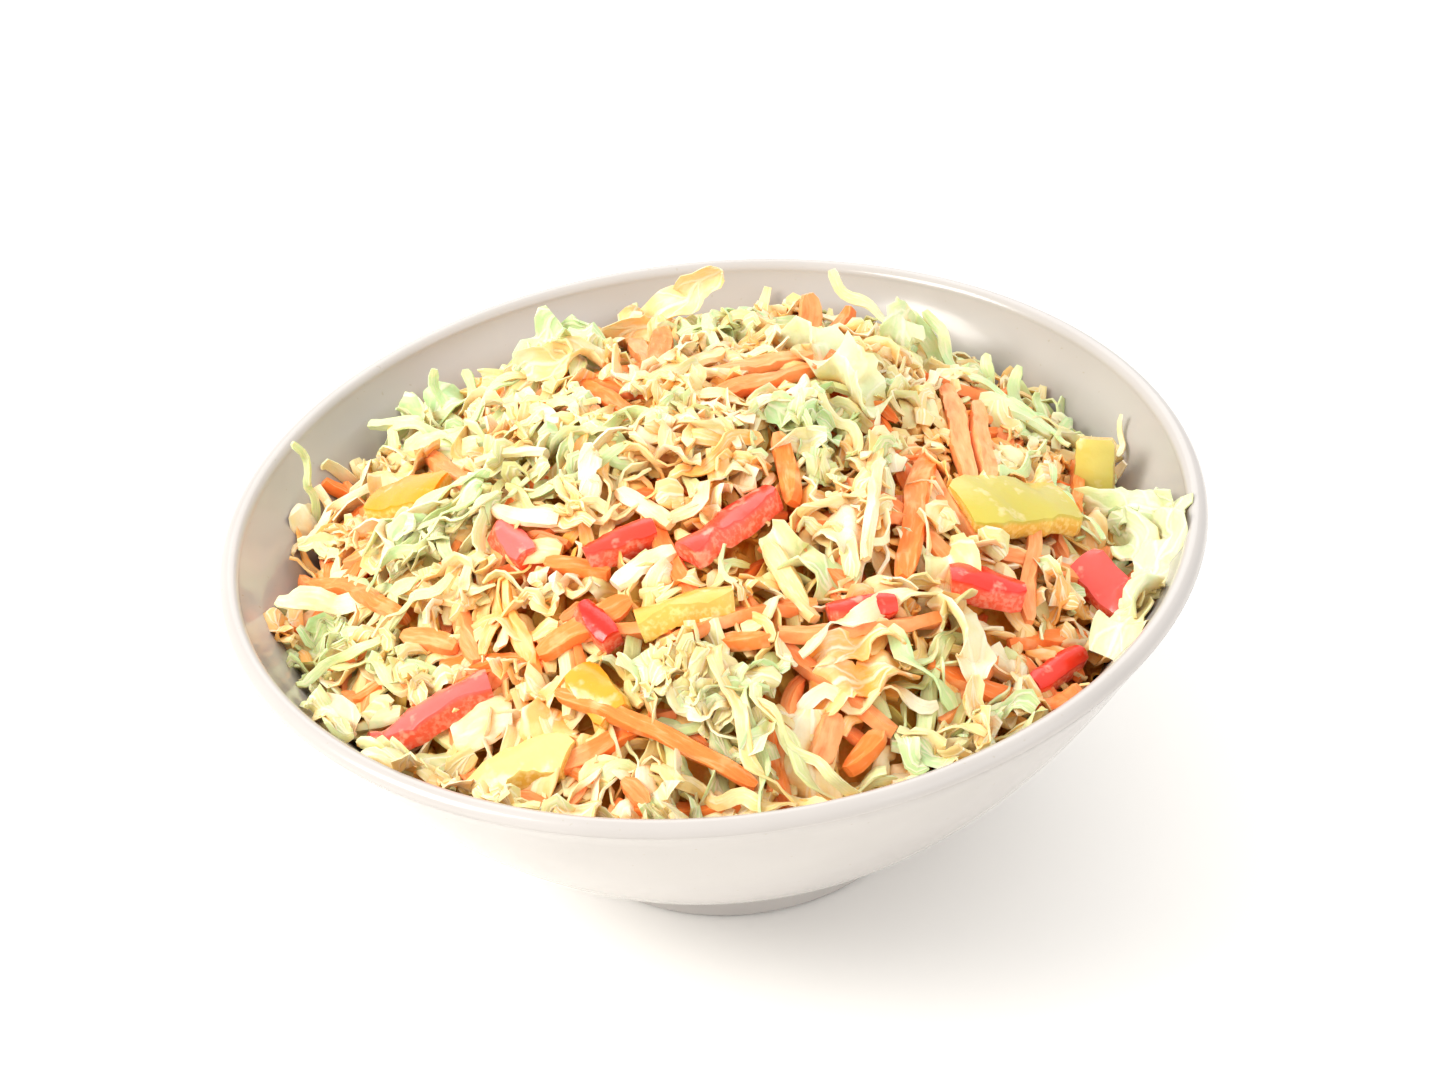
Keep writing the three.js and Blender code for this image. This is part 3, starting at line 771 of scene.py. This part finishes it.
tufts = [  # curled green scraps that gather in one place: x, y, radius, how many and how proud
    (-3, -49, 9, 60, 3.8, {"green": (0.35, 0.95), "kinds": ("flake", "curl")}),
    (-24, 36, 8, 16, 1.8),
    (37, 37, 9, 18, 1.8),
    (52, 24, 8, 12, 1.4),
    (-62, -16, 8, 12, 1.4),
    (15, -31, 5, 8, 1.4),
    (0, -61, 6, 8, 1.2),
    (62, -10, 8, 10, 1.4),
]
tuftScraps = {
    "kinds": ("flake", "ribbon", "frizz", "curl"), "green": (0.4, 0.95), "longest": 14, "lift": 3,
}
rimScraps = {  # scraps between the heap and the front of the wall
    "kinds": ("flake", "ribbon", "bit", "curl"), "spread": 1.6, "stray": 0.03, "turn": 0.3,
    "longest": 11, "proud": 2.2, "green": (0, 0.9),
}
rimRows = {  # radius, degrees and reach
    "low": (67.6, range(186, 352, 5), 71.0),
    "high": (69.4, range(190, 262, 4), 71.0),
    "edge": (71.6, range(206, 254, 3), 73.5),
}

underLayers = [  # the odds of each kind, then when to stop: lack, pieces and cells
    ({"ribbon": 5, "rib": 2, "carrot": 1.6, "flake": 2}, 2.6, 330, 200),
    ({"bit": 3, "chip": 1}, 3.0, 200, 40),
    ({"ribbon": 6, "frizz": 3, "flake": 2, "leafy": 0.6, "rib": 1, "carrot": 1}, 1.2, 360, 200),
    ({"bit": 3, "chip": 1}, 2.0, 240, 40),
]
topOdds = {"ribbon": 5, "frizz": 2, "flake": 4, "curl": 3, "leafy": 0.7, "rib": 0.4}
topLayers = [
    (topOdds, 0.0, 460, 200, {"spring": 0.8, "proud": 1.6}),
    ({"flake": 3, "curl": 3, "bit": 1.5, "chip": 0.5}, 1.2, 200, 40),
]


def lay(rng, pile, made, name, piece, scraps, reach=settling["reach"]):
    piece["length"] = min(piece["length"], scraps["longest"])
    piece["green"] = rng.uniform(*scraps["green"])
    if fits(pile, piece, reach):
        made[name].append(settle(rng, pile, piece))


def layTuft(rng, pile, made, atX, atY, radius, count, proud, own=None):
    scraps = {**tuftScraps, **(own or {})}
    for i in range(count):
        name = scraps["kinds"][i % len(scraps["kinds"])]
        angle, r = rng.uniform(0, 2 * np.pi), radius * math.sqrt(rng.uniform())
        x, y = atX + r * math.cos(angle), atY + r * math.sin(angle)
        piece = drawPiece(rng, kinds[name], x, y)
        piece["proud"], piece["lift"] = proud, rng.uniform(0, scraps["lift"])
        lay(rng, pile, made, name, piece, scraps)


def layRim(rng, pile, made, radius, angles, reach):
    scraps = rimScraps
    for i, degrees in enumerate(angles):
        for inward in range(2):
            angle = math.radians(degrees) + rng.normal(0, scraps["stray"])
            r = radius + scraps["spread"] * (rng.uniform(-1, 1) - inward)
            name = scraps["kinds"][(i + inward) % len(scraps["kinds"])]
            piece = drawPiece(rng, kinds[name], r * math.cos(angle), r * math.sin(angle))
            piece["heading"] = angle + math.pi / 2 + rng.normal(0, scraps["turn"])
            piece["proud"] = scraps["proud"]
            lay(rng, pile, made, name, piece, scraps, reach)


rng = np.random.default_rng(heap["seed"])
pile = Pile()
made = {name: [] for name in [*kinds, "red", "yellow"]}
for layer in underLayers:
    fillUp(rng, pile, made, *layer)
print("under layers:", {name: len(pieces) for name, pieces in made.items()})

for name, kind, places in [
    ("leafy", kinds["leafy"], leafPlaces),
    ("rib", kinds["rib"], ribPlaces),
    ("carrot", kinds["carrot"], carrotPlaces),
    ("red", pepperCut, redPlaces),
    ("yellow", pepperCut, yellowPlaces),
    ("ribbon", kinds["ribbon"], shredPlaces),
]:
    for place in places:
        made[name].append(settle(rng, pile, placed(kind, *place)))
for name, kind, places in [
    ("ribbon", {**kinds["ribbon"], "wave": 0.5}, proudShreds),
    ("leafy", {**kinds["leafy"], "wave": 0.5, "tone": 0.85, "green": 0.7}, proudLeaves),
    ("carrot", {**kinds["carrot"], "wave": 0.5}, proudCarrots),
    ("yellow", pepperCut, proudYellow),
]:
    for width, through, *own in places:
        piece = {**plain, **middling(kind), "width": width, **dict(*own)}
        made[name].append(raised(rng, pile, piece, through))
for tuft in tufts:
    layTuft(rng, pile, made, *tuft)
layRim(rng, pile, made, *rimRows["low"])
for layer in topLayers:
    fillUp(rng, pile, made, *layer)
layRim(rng, pile, made, *rimRows["high"])
layRim(rng, pile, made, *rimRows["edge"])
print("whole heap:", {name: len(pieces) for name, pieces in made.items()})


# ---- Geometry Nodes: a closed ribbon along each middle line


def ribbonTree():
    tree = bpy.data.node_groups.new("ribbonAlongLine", "GeometryNodeTree")
    inputs = {
        "Lines": "Geometry", "Corners": 8, "Squareness": 1.5, "Fullness": 1.0,
        "Thickness": 0.8 * mm, "Ruffle height": 0.5 * mm, "Ruffle length": 5 * mm,
        "Crinkle height": 0.2 * mm, "Crinkle length": 2 * mm, "Tear height": 0.0,
        "Tear length": 3 * mm, "Sharp over": 0.9, "Seed": 0.0, "Material": "Material",
    }
    given, identifiers = linkInputs(tree, inputs)

    lines = addNode(tree, "GeometryNodeMeshToCurve", {"Mesh": given["Lines"]})
    up = addNode(
        tree, "GeometryNodeInputNamedAttribute", {"Name": "up"}, data_type="FLOAT_VECTOR"
    )
    lines = addNode(
        tree, "GeometryNodeSetCurveNormal", {"Curve": lines, "Normal": up}, mode="FREE"
    )
    # a ring squashed flat: y runs across the ribbon, and x says which face a corner is on
    circle = {"Resolution": given["Corners"], "Radius": 1.0}
    ring = addNode(tree, "GeometryNodeCurvePrimitiveCircle", circle)
    position = addNode(tree, "GeometryNodeInputPosition")
    place = addNode(tree, "ShaderNodeSeparateXYZ", {0: position}, output=None)

    def squared(value, factor):
        more = addNode(tree, "ShaderNodeMath", (value, factor), operation="MULTIPLY")
        return addNode(tree, "ShaderNodeClamp", {"Value": more, "Min": -1.0, "Max": 1.0})

    onFace = squared(place["X"], given["Squareness"])
    onWidth = squared(place["Y"], given["Fullness"])
    ring = addNode(
        tree,
        "GeometryNodeStoreNamedAttribute",
        {
            "Geometry": addNode(
                tree,
                "GeometryNodeStoreNamedAttribute",
                {"Geometry": ring, "Name": "face", "Value": onFace},
                data_type="FLOAT",
            ),
            "Name": "across",
            "Value": onWidth,
        },
        data_type="FLOAT",
    )
    flat = addNode(tree, "ShaderNodeCombineXYZ", {"Y": onWidth})
    ring = addNode(tree, "GeometryNodeSetPosition", {"Geometry": ring, "Position": flat})
    sweep = {
        "Curve": lines,
        "Profile Curve": ring,
        "Scale": addNode(
            tree, "GeometryNodeInputNamedAttribute", {"Name": "half"}, data_type="FLOAT"
        ),
        "Fill Caps": True,
    }
    body = addNode(tree, "GeometryNodeCurveToMesh", sweep)

    # a ruffle that grows to the edges, a crinkle all over and the thickness, square to the face
    def waves(name):
        scale = addNode(
            tree, "ShaderNodeMath", (1.0, given[name + " length"]), operation="DIVIDE"
        )
        noise = {"Vector": position, "W": given["Seed"], "Scale": scale, "Detail": 1.0}
        value = addNode(tree, "ShaderNodeTexNoise", noise, noise_dimensions="4D")
        value = addNode(tree, "ShaderNodeMath", (value, 0.5), operation="SUBTRACT")
        return addNode(
            tree, "ShaderNodeMath", (value, given[name + " height"]), operation="MULTIPLY"
        )

    edge = addNode(
        tree,
        "ShaderNodeMath",
        (
            addNode(
                tree, "GeometryNodeInputNamedAttribute", {"Name": "across"}, data_type="FLOAT"
            ),
        ),
        operation="ABSOLUTE",
    )
    height = addNode(
        tree,
        "ShaderNodeMath",
        (waves("Ruffle"), addNode(tree, "ShaderNodeMath", (edge, 1.3), operation="POWER")),
        operation="MULTIPLY",
    )
    height = addNode(tree, "ShaderNodeMath", (height, waves("Crinkle")), operation="ADD")
    height = addNode(
        tree,
        "ShaderNodeMath",
        (
            addNode(tree, "GeometryNodeInputNamedAttribute", {"Name": "cup"}, data_type="FLOAT"),
            addNode(tree, "ShaderNodeMath", (edge, 2.0), operation="POWER"),
            height,
        ),
        operation="MULTIPLY_ADD",
    )
    half = addNode(tree, "ShaderNodeMath", (given["Thickness"], 0.5), operation="MULTIPLY")
    height = addNode(
        tree,
        "ShaderNodeMath",
        (
            half,
            addNode(tree, "GeometryNodeInputNamedAttribute", {"Name": "face"}, data_type="FLOAT"),
            height,
        ),
        operation="MULTIPLY_ADD",
    )
    offset = addNode(tree, "ShaderNodeVectorMath", {0: up, "Scale": height}, operation="SCALE")
    # torn edges come and go in the leaf's own plane
    tear = addNode(
        tree,
        "ShaderNodeMath",
        (
            waves("Tear"),
            addNode(
                tree, "GeometryNodeInputNamedAttribute", {"Name": "across"}, data_type="FLOAT"
            ),
        ),
        operation="MULTIPLY",
    )
    sideways = addNode(
        tree,
        "ShaderNodeVectorMath",
        {
            0: addNode(
                tree,
                "GeometryNodeInputNamedAttribute",
                {"Name": "side"},
                data_type="FLOAT_VECTOR",
            ),
            "Scale": tear,
        },
        operation="SCALE",
    )
    offset = addNode(tree, "ShaderNodeVectorMath", {0: offset, 1: sideways}, operation="ADD")
    body = addNode(tree, "GeometryNodeSetPosition", {"Geometry": body, "Offset": offset})
    body = addNode(tree, "GeometryNodeSetShadeSmooth", {"Geometry": body})
    bend = addNode(tree, "GeometryNodeInputMeshEdgeAngle", output="Unsigned Angle")
    corner = addNode(
        tree, "ShaderNodeMath", (bend, given["Sharp over"]), operation="GREATER_THAN"
    )
    crisp = {"Geometry": body, "Selection": corner, "Shade Smooth": False}
    body = addNode(tree, "GeometryNodeSetShadeSmooth", crisp, domain="EDGE")
    finishTree(tree, body, given["Material"])
    return tree, identifiers


ribbons = ribbonTree()


def makeRibbons(name, strands, section, material, slotName, *replaced):
    # the middle lines as edges with their attributes, then the tree's result as a plain mesh
    sizes = {**dict(zip(sectionKeys, section)), **dict(*section[len(sectionKeys) :])}
    counts = [len(s["points"]) for s in strands]
    points = np.concatenate([s["points"] for s in strands]) * mm
    starts = np.cumsum([0] + counts)
    edges = [(i, i + 1) for a, b in zip(starts, starts[1:]) for i in range(a, b - 1)]
    mesh = bpy.data.meshes.new(name + "Lines")
    mesh.from_pydata(points.tolist(), edges, [])
    for key, scale in {"half": mm, "run": mm, "cup": mm, "deep": 1, "tone": 1, "green": 1}.items():
        values = [np.broadcast_to(s[key], count) for s, count in zip(strands, counts)]
        values = (np.concatenate(values) * scale).astype(np.float32)
        mesh.attributes.new(key, "FLOAT", "POINT").data.foreach_set("value", values)
    for key in ("up", "side"):
        ways = np.concatenate([s[key] for s in strands]).astype(np.float32)
        mesh.attributes.new(key, "FLOAT_VECTOR", "POINT").data.foreach_set("vector", ways.ravel())
    inMetres = {k: v * mm if k.endswith(("height", "Thickness")) else v for k, v in sizes.items()}
    result = baked(name, mesh, *ribbons, {**inMetres, "Material": material})
    for spare in ("up", "side", "half", "cup"):
        if spare in result.attributes:
            result.attributes.remove(result.attributes[spare])
    addPiece(name, result, slotName, *replaced)
    triangles = sum(len(p.vertices) - 2 for p in result.polygons)
    print(f"{name}: {len(strands)} pieces, {triangles} triangles")


# ---- materials


def newMaterial(name, values):
    material = bpy.data.materials.new(name)
    material.use_nodes = True
    shader = material.node_tree.nodes["Principled BSDF"]
    for key, value in values.items():
        shader.inputs[key].default_value = value
    return material, material.node_tree, shader


def alongPiece(tree, stretch=6.0):
    # a coordinate that follows each strip: run along it, across it and a place of its own
    across = addNode(
        tree,
        "ShaderNodeMath",
        (addNode(tree, "ShaderNodeAttribute", output="Fac", attribute_name="across"), 1.5 * mm),
        operation="MULTIPLY",
    )
    run = addNode(
        tree,
        "ShaderNodeMath",
        (addNode(tree, "ShaderNodeAttribute", output="Fac", attribute_name="run"), stretch),
        operation="DIVIDE",
    )
    place = {
        0: run,
        1: across,
        2: addNode(tree, "ShaderNodeAttribute", output="Fac", attribute_name="tone"),
    }
    return addNode(tree, "ShaderNodeCombineXYZ", place)


def startMaterial(name, look):
    # the material, and its noises by name: the width of a blotch, and the detail
    material, tree, shader = newMaterial(name, look["sockets"])
    point = addNode(tree, "ShaderNodeTexCoord", output="Object")
    noises = {key: (point, *noise) for key, noise in look["noises"].items()}
    if "streak" in look:
        noises["streak"] = (alongPiece(tree), *look["streak"])
    sources = {}
    for key, (place, size, detail) in noises.items():
        inputs = {"Vector": place, "Scale": 1 / (size * mm), "Detail": detail}
        sources[key] = addNode(tree, "ShaderNodeTexNoise", inputs)
    return material, tree, shader, sources


def layered(tree, body, layers, sources):
    # colours over one another, each where a noise or an attribute lies between two values
    for source, low, high, most, colour in layers:
        value = sources[source] if source in sources else addNode(
            tree, "ShaderNodeAttribute", output="Fac", attribute_name=source
        )
        body = addNode(
            tree,
            "ShaderNodeMix",
            {
                0: addNode(
                    tree,
                    "ShaderNodeMapRange",
                    (value, low, high, 0, most),
                    interpolation_type="SMOOTHSTEP",
                ),
                6: body,
                7: colour,
            },
            output=2,
            data_type="RGBA",
        )
    return body


def finishShader(tree, shader, body, height, strength, distance):
    tree.links.new(body, shader.inputs["Base Color"])
    relief = {"Strength": strength, "Distance": distance * mm, "Height": height}
    tree.links.new(addNode(tree, "ShaderNodeBump", relief), shader.inputs["Normal"])


glaze = {
    # cream-white glaze over clay, painted darker as a grey-beige: painted shade for the dim light
    # on the bowl; smooth, bright reflections with a faint ripple
    "sockets": {"Roughness": 0.2, "IOR": 1.5, "Coat Weight": 0.2, "Coat Roughness": 0.1},
    "noises": {"clouds": (26, 2.0), "specks": (0.9, 1.0), "ripple": (9, 2.0)},
    "body": "#b4aea9",
    "layers": [("clouds", 0.35, 0.7, 1, "#b9b3ae"), ("specks", 0.74, 0.8, 1, "#aea69a")],
    "bump": ("ripple", 0.05, 1.0),
}
packed = {
    # the depth of the heap, seen through the gaps between pieces: painted a warm orange, painted
    # shade for those gaps
    "sockets": {"Roughness": 0.5, "IOR": 1.38},
    "noises": {"clouds": (3.0, 2.0), "grain": (1.6, 2.0)},
    "body": "#fb9c20",
    "layers": [("clouds", 0.4, 0.62, 1, "#ffc04c")],
    "bump": ("grain", 0.6, 0.8),
}
grated = {
    # raw carrot from a grater: bright, moist, with pale and deep streaks along each strip
    "sockets": {
        "Roughness": 0.42, "IOR": 1.38, "Subsurface Weight": 0.3,
        "Subsurface Radius": (1.0, 0.6, 0.3), "Subsurface Scale": 1.0 * mm,
        "Specular IOR Level": 0.3, "Coat Weight": 0.08, "Coat Roughness": 0.25, "Coat IOR": 1.4,
    },
    "noises": {"dressing": (4.0, 3.0)},
    "streak": (0.6, 3.0),
    "body": "#fa8840",
    "layers": [
        ("tone", 0.1, 0.9, 1, "#ffa468"),
        ("streak", 0.5, 0.75, 0.6, "#ffc28c"),
        ("streak", 0.5, 0.25, 0.5, "#ee6a28"),
        ("dressing", 0.54, 0.66, 0.3, "#fdcc94"),
        # strips lying deeper under the heap's form are painted a deeper orange: painted shade
        ("deep", -1.2, 3.0, 0.7, "#f2641a"),
    ],
    "bump": ("streak", 0.5, 0.4),
}


def layeredMaterial(name, look):
    material, tree, shader, sources = startMaterial(name, look)
    body = layered(tree, look["body"], look["layers"], sources)
    source, strength, distance = look["bump"]
    finishShader(tree, shader, body, sources[source], strength, distance)
    return material


veining = {
    "apart": 5,  # millimetres
    "slant": 0.9, "wander": 6.0,
    "branch": (0.02, 0.12, 0.75, 0),  # where it begins to fade, where it ends, and its strength
    "midrib": (0.04, 0.16, 1, 0),
}


def leafVeins(tree, look):
    # a midrib along the piece and side veins that slant off it
    side = addNode(
        tree,
        "ShaderNodeMath",
        (addNode(tree, "ShaderNodeAttribute", output="Fac", attribute_name="across"),),
        operation="ABSOLUTE",
    )
    run = addNode(
        tree,
        "ShaderNodeMath",
        (
            addNode(tree, "ShaderNodeAttribute", output="Fac", attribute_name="run"),
            look["apart"] * mm,
        ),
        operation="DIVIDE",
    )
    slant = addNode(tree, "ShaderNodeMath", (side, look["slant"], run), operation="MULTIPLY_ADD")
    wander = addNode(
        tree,
        "ShaderNodeTexNoise",
        {
            "Vector": addNode(tree, "ShaderNodeTexCoord", output="Object"),
            "Scale": 1 / (look["wander"] * mm),
            "Detail": 2.0,
        },
    )
    slant = addNode(
        tree,
        "ShaderNodeMath",
        (addNode(tree, "ShaderNodeMath", (slant, wander), operation="ADD"),),
        operation="FRACT",
    )
    apart = addNode(
        tree,
        "ShaderNodeMath",
        (addNode(tree, "ShaderNodeMath", (slant, 0.5), operation="SUBTRACT"),),
        operation="ABSOLUTE",
    )
    branch = addNode(
        tree, "ShaderNodeMapRange", (apart, *look["branch"]), interpolation_type="SMOOTHSTEP"
    )
    return addNode(
        tree,
        "ShaderNodeMath",
        (
            branch,
            addNode(
                tree,
                "ShaderNodeMapRange",
                (side, *look["midrib"]),
                interpolation_type="SMOOTHSTEP",
            ),
        ),
        operation="MAXIMUM",
    )


cabbage = {
    "sockets": {
        "Roughness": 0.4, "IOR": 1.38, "Subsurface Weight": 0.25,
        "Subsurface Radius": (1.0, 0.75, 0.4), "Subsurface Scale": 0.6 * mm,
        "Coat Roughness": 0.2, "Coat IOR": 1.4,
    },
    "sheen": {"Specular IOR Level": 0.35, "Coat Weight": 0.15},  # taken away where the painted shade lies
    "noises": {"patch": (9, 2.0), "fine": (1.1, 2.0), "dressing": (4.5, 3.0)},
    "streak": (0.5, 3.0),
    "stained": "#ffb366",
    "patchiness": 1.8,
    "tones": [  # up to the white of the rib
        ("tone", -0.05, 0.25, 1, "#fbcc86"),
        ("tone", 0.32, 0.55, 1, "#f6d99e"),
        ("tone", 0.62, 0.88, 1, "#f6e3c6"),
    ],
    "streaks": [("streak", 0.45, 0.72, 0.5, "#faebd2")],
    "veins": (0.8, "#f4f0d4"),
    "dressing": [("dressing", 0.52, 0.64, 0.3, "#fee0b0")],
    "deep": (-1.2, 3.0, 0, 0.85),  # millimetres under the form, and how much painted shade there
    "deepShadeColours": ("#ff9e1c", "#d2b44c"),  # the painted shade's colours, on white and on green leaf
    "shadedCrevice": (3.0, 0.6, "#ffae30"),  # painted shade where pieces are shut in: its reach and most share
    "greenSpared": 0.7,  # of the painted crevice shade's colour
    "bump": (0.4, 0.35),
}


def cutCabbage(name, look, leaf, veined=False):
    # wet, half clear leaf under a thin cream dressing: soft light inside, small gleams on top
    material, tree, shader, sources = startMaterial(name, look)
    patch = addNode(tree, "ShaderNodeMath", (sources["patch"], 0.5), operation="SUBTRACT")
    patch = addNode(tree, "ShaderNodeMath", (patch, look["patchiness"]), operation="MULTIPLY")
    tone = addNode(
        tree,
        "ShaderNodeMath",
        (addNode(tree, "ShaderNodeAttribute", output="Fac", attribute_name="tone"), patch),
        operation="ADD",
    )
    leafShare = addNode(tree, "ShaderNodeAttribute", output="Fac", attribute_name="green")
    body = layered(tree, look["stained"], look["tones"], {"tone": tone})
    body = addNode(
        tree, "ShaderNodeMix", {0: leafShare, 6: body, 7: leaf}, output=2, data_type="RGBA"
    )
    body = layered(tree, body, look["streaks"], sources)
    grain = addNode(tree, "ShaderNodeMath", (sources["streak"], sources["fine"]), operation="ADD")
    if veined:
        veins = leafVeins(tree, veining)
        share, colour = look["veins"]
        body = addNode(
            tree,
            "ShaderNodeMix",
            {
                0: addNode(tree, "ShaderNodeMath", (veins, share), operation="MULTIPLY"),
                6: body,
                7: colour,
            },
            output=2,
            data_type="RGBA",
        )
        grain = addNode(tree, "ShaderNodeMath", (grain, veins), operation="ADD")
    body = layered(tree, body, look["dressing"], sources)
    # pieces lying deeper in the gaps under the heap's form are painted a deep orange: painted
    # shade
    deepShadeShare = addNode(
        tree,
        "ShaderNodeMapRange",
        (
            addNode(tree, "ShaderNodeAttribute", output="Fac", attribute_name="deep"),
            *look["deep"],
        ),
        interpolation_type="SMOOTHSTEP",
    )
    onWhite, onGreen = look["deepShadeColours"]
    deepShadeColours = addNode(
        tree, "ShaderNodeMix", {0: leafShare, 6: onWhite, 7: onGreen}, output=2, data_type="RGBA"
    )
    body = addNode(
        tree, "ShaderNodeMix", {0: deepShadeShare, 6: body, 7: deepShadeColours}, output=2, data_type="RGBA"
    )
    reach, most, colour = look["shadedCrevice"]
    spared = addNode(
        tree, "ShaderNodeMath", (leafShare, look["greenSpared"]), operation="MULTIPLY"
    )
    spared = addNode(tree, "ShaderNodeMath", (1.0, spared), operation="SUBTRACT")
    # how much a point is shut in by what lies within this reach; there the colour is pushed to a
    # warm orange, painted shade
    lit = addNode(
        tree, "ShaderNodeAmbientOcclusion", {"Distance": reach * mm}, output="AO", samples=4
    )
    creviceShadeShare = addNode(
        tree,
        "ShaderNodeMath",
        (
            addNode(
                tree,
                "ShaderNodeMapRange",
                (lit, 0.3, 0.8, most, 0),
                interpolation_type="SMOOTHSTEP",
            ),
            spared,
        ),
        operation="MULTIPLY",
    )
    body = addNode(
        tree, "ShaderNodeMix", {0: creviceShadeShare, 6: body, 7: colour}, output=2, data_type="RGBA"
    )
    # the gleams are taken away where shade is painted, so the painted shade stays deep
    outsidePaintedShade = addNode(
        tree,
        "ShaderNodeMath",
        (1.0, addNode(tree, "ShaderNodeMath", (deepShadeShare, creviceShadeShare), operation="MAXIMUM")),
        operation="SUBTRACT",
    )
    for key, most in look["sheen"].items():
        tree.links.new(
            addNode(tree, "ShaderNodeMath", (outsidePaintedShade, most), operation="MULTIPLY"),
            shader.inputs[key],
        )
    finishShader(tree, shader, body, grain, *look["bump"])
    return material


pepper = {
    "sockets": {
        "Roughness": 0.26, "IOR": 1.42, "Subsurface Weight": 0.2,
        "Subsurface Radius": (1.0, 0.35, 0.12), "Subsurface Scale": 2.0 * mm, "Coat Weight": 0.3,
        "Coat Roughness": 0.12, "Coat IOR": 1.45,
    },
    "noises": {"flesh": (0.8, 2.0), "dressing": (3.2, 3.0), "grain": (1.4, 2.0)},
    "fleshy": (0.4, 0.7),
    "skin": (0.55, 0.95),  # from the cut faces to the outer one
    "dressing": [("dressing", 0.58, 0.7, 0.3, "#fde6c4")],
    "bump": (0.25, 0.4),
}
pepperColours = {  # the skin's from tone 0 to 1, and two of the flesh
    "red": (("#e21e06", "#ee3c26", "#f8645c"), ("#f65a3c", "#fc8c70")),
    "yellow": (("#f69800", "#f9b24e", "#c2b246", "#ead67e"), ("#e2b44c", "#efd07c")),
}


def cutPepper(name, look, skins, flesh):
    # sweet pepper: waxy skin on the outer face, paler juicy flesh on the cut ones
    material, tree, shader, sources = startMaterial(name, look)
    body = layered(tree, flesh[0], [("flesh", *look["fleshy"], 1, flesh[1])], sources)
    last = len(skins) - 1
    tones = [("tone", i / last, (i + 1) / last, 1, skins[i + 1]) for i in range(last)]
    outer = addNode(
        tree,
        "ShaderNodeMapRange",
        (
            addNode(tree, "ShaderNodeAttribute", output="Fac", attribute_name="face"),
            *look["skin"],
        ),
        interpolation_type="SMOOTHSTEP",
    )
    body = addNode(
        tree,
        "ShaderNodeMix",
        {0: outer, 6: body, 7: layered(tree, skins[0], tones, {})},
        output=2,
        data_type="RGBA",
    )
    body = layered(tree, body, look["dressing"], sources)
    finishShader(tree, shader, body, sources["grain"], *look["bump"])
    return material


glazed = layeredMaterial("glazedStoneware", glaze)
body = turnedMesh("bowlBody", bowlProfile(bowl), bowl["sectors"], glazed)
addPiece("bowlBody", body, "bowl", "bowl")

coreInPaintedShade = layeredMaterial("coreInPaintedShade", packed)
core = turnedMesh("slawCore", coreProfile(heap), heap["sectors"], coreInPaintedShade)
for vertex in core.vertices:
    x, y, z = (c / mm for c in vertex.co)
    if z > heap["crownHeight"] + 10:
        rough = heap["relief"] * math.sin(x * 1.3 + y * 0.4) * math.sin(y * 1.1 - x * 0.5)
        share = min(math.hypot(x, y) / heap["edgeRadius"], 1)
        vertex.co.z = (float(topHeight(x, y)) - heap["depth"] + rough * (1 - share)) * mm
addPiece("slawCore", core, "slaw", "slaw")
print("bowl and core made")

white = cutCabbage("shreddedCabbageWhite", cabbage, "#cce0aa")
green = cutCabbage("shreddedCabbageGreen", cabbage, "#c6e0a2")
leaf = cutCabbage("tornCabbageLeaf", cabbage, "#c0dea0", veined=True)
carrot = layeredMaterial("gratedCarrot", grated)

sections = {  # corners, squareness, thickness, heights of the ruffle and the crinkle, and more
    "frizz": (6, 1.6, 0.45, 0.6, 0.6),
    "ribbon": (6, 1.6, 0.45, 1.6, 0.9),
    "flake": (12, 3.0, 0.45, 3.4, 0.9, {"Tear height": 3}),
    "leafy": (22, 4.0, 0.45, 3, 0.7, {"Tear height": 3, "Sharp over": 1.2}),
    "curl": (8, 2.4, 0.45, 1.6, 0.6),
    "bit": (8, 2.4, 0.7, 0.8, 0.4),
    "rib": (8, 1.5, 1.5, 0.6, 0.4),
    "carrot": (8, 1.4, 1.9, 0.4, 0.3, {"Fullness": 1.2}),
    "chip": (8, 1.4, 1.3, 0.3, 0.2, {"Fullness": 1.2}),
    "pepper": (16, 1.35, 3.6, 0.5, 0.5, {"Fullness": 1.32, "Sharp over": 0.6}),
}
sectionKeys = ("Corners", "Squareness", "Thickness", "Ruffle height", "Crinkle height")

for name, kind, material in [
    ("cabbageFrizz", "frizz", white),
    ("cabbageRibbons", "ribbon", green),
    ("cabbageFlakes", "flake", leaf),
    ("cabbageLeaves", "leafy", leaf),
    ("cabbageCurls", "curl", leaf),
    ("cabbageBits", "bit", green),
    ("cabbageRibs", "rib", white),
    ("carrotStrips", "carrot", carrot),
    ("carrotChips", "chip", carrot),
]:
    makeRibbons(name, made[kind], sections[kind], material, "slaw", "slaw")
for kind, colours in pepperColours.items():
    material = cutPepper(kind + "SweetPepper", pepper, *colours)
    nodes = [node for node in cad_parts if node.startswith(kind + "_pepper")]
    name, slotName = kind + "PepperPieces", kind + "_pepper"
    makeRibbons(name, made[kind], sections["pepper"], material, slotName, *nodes)
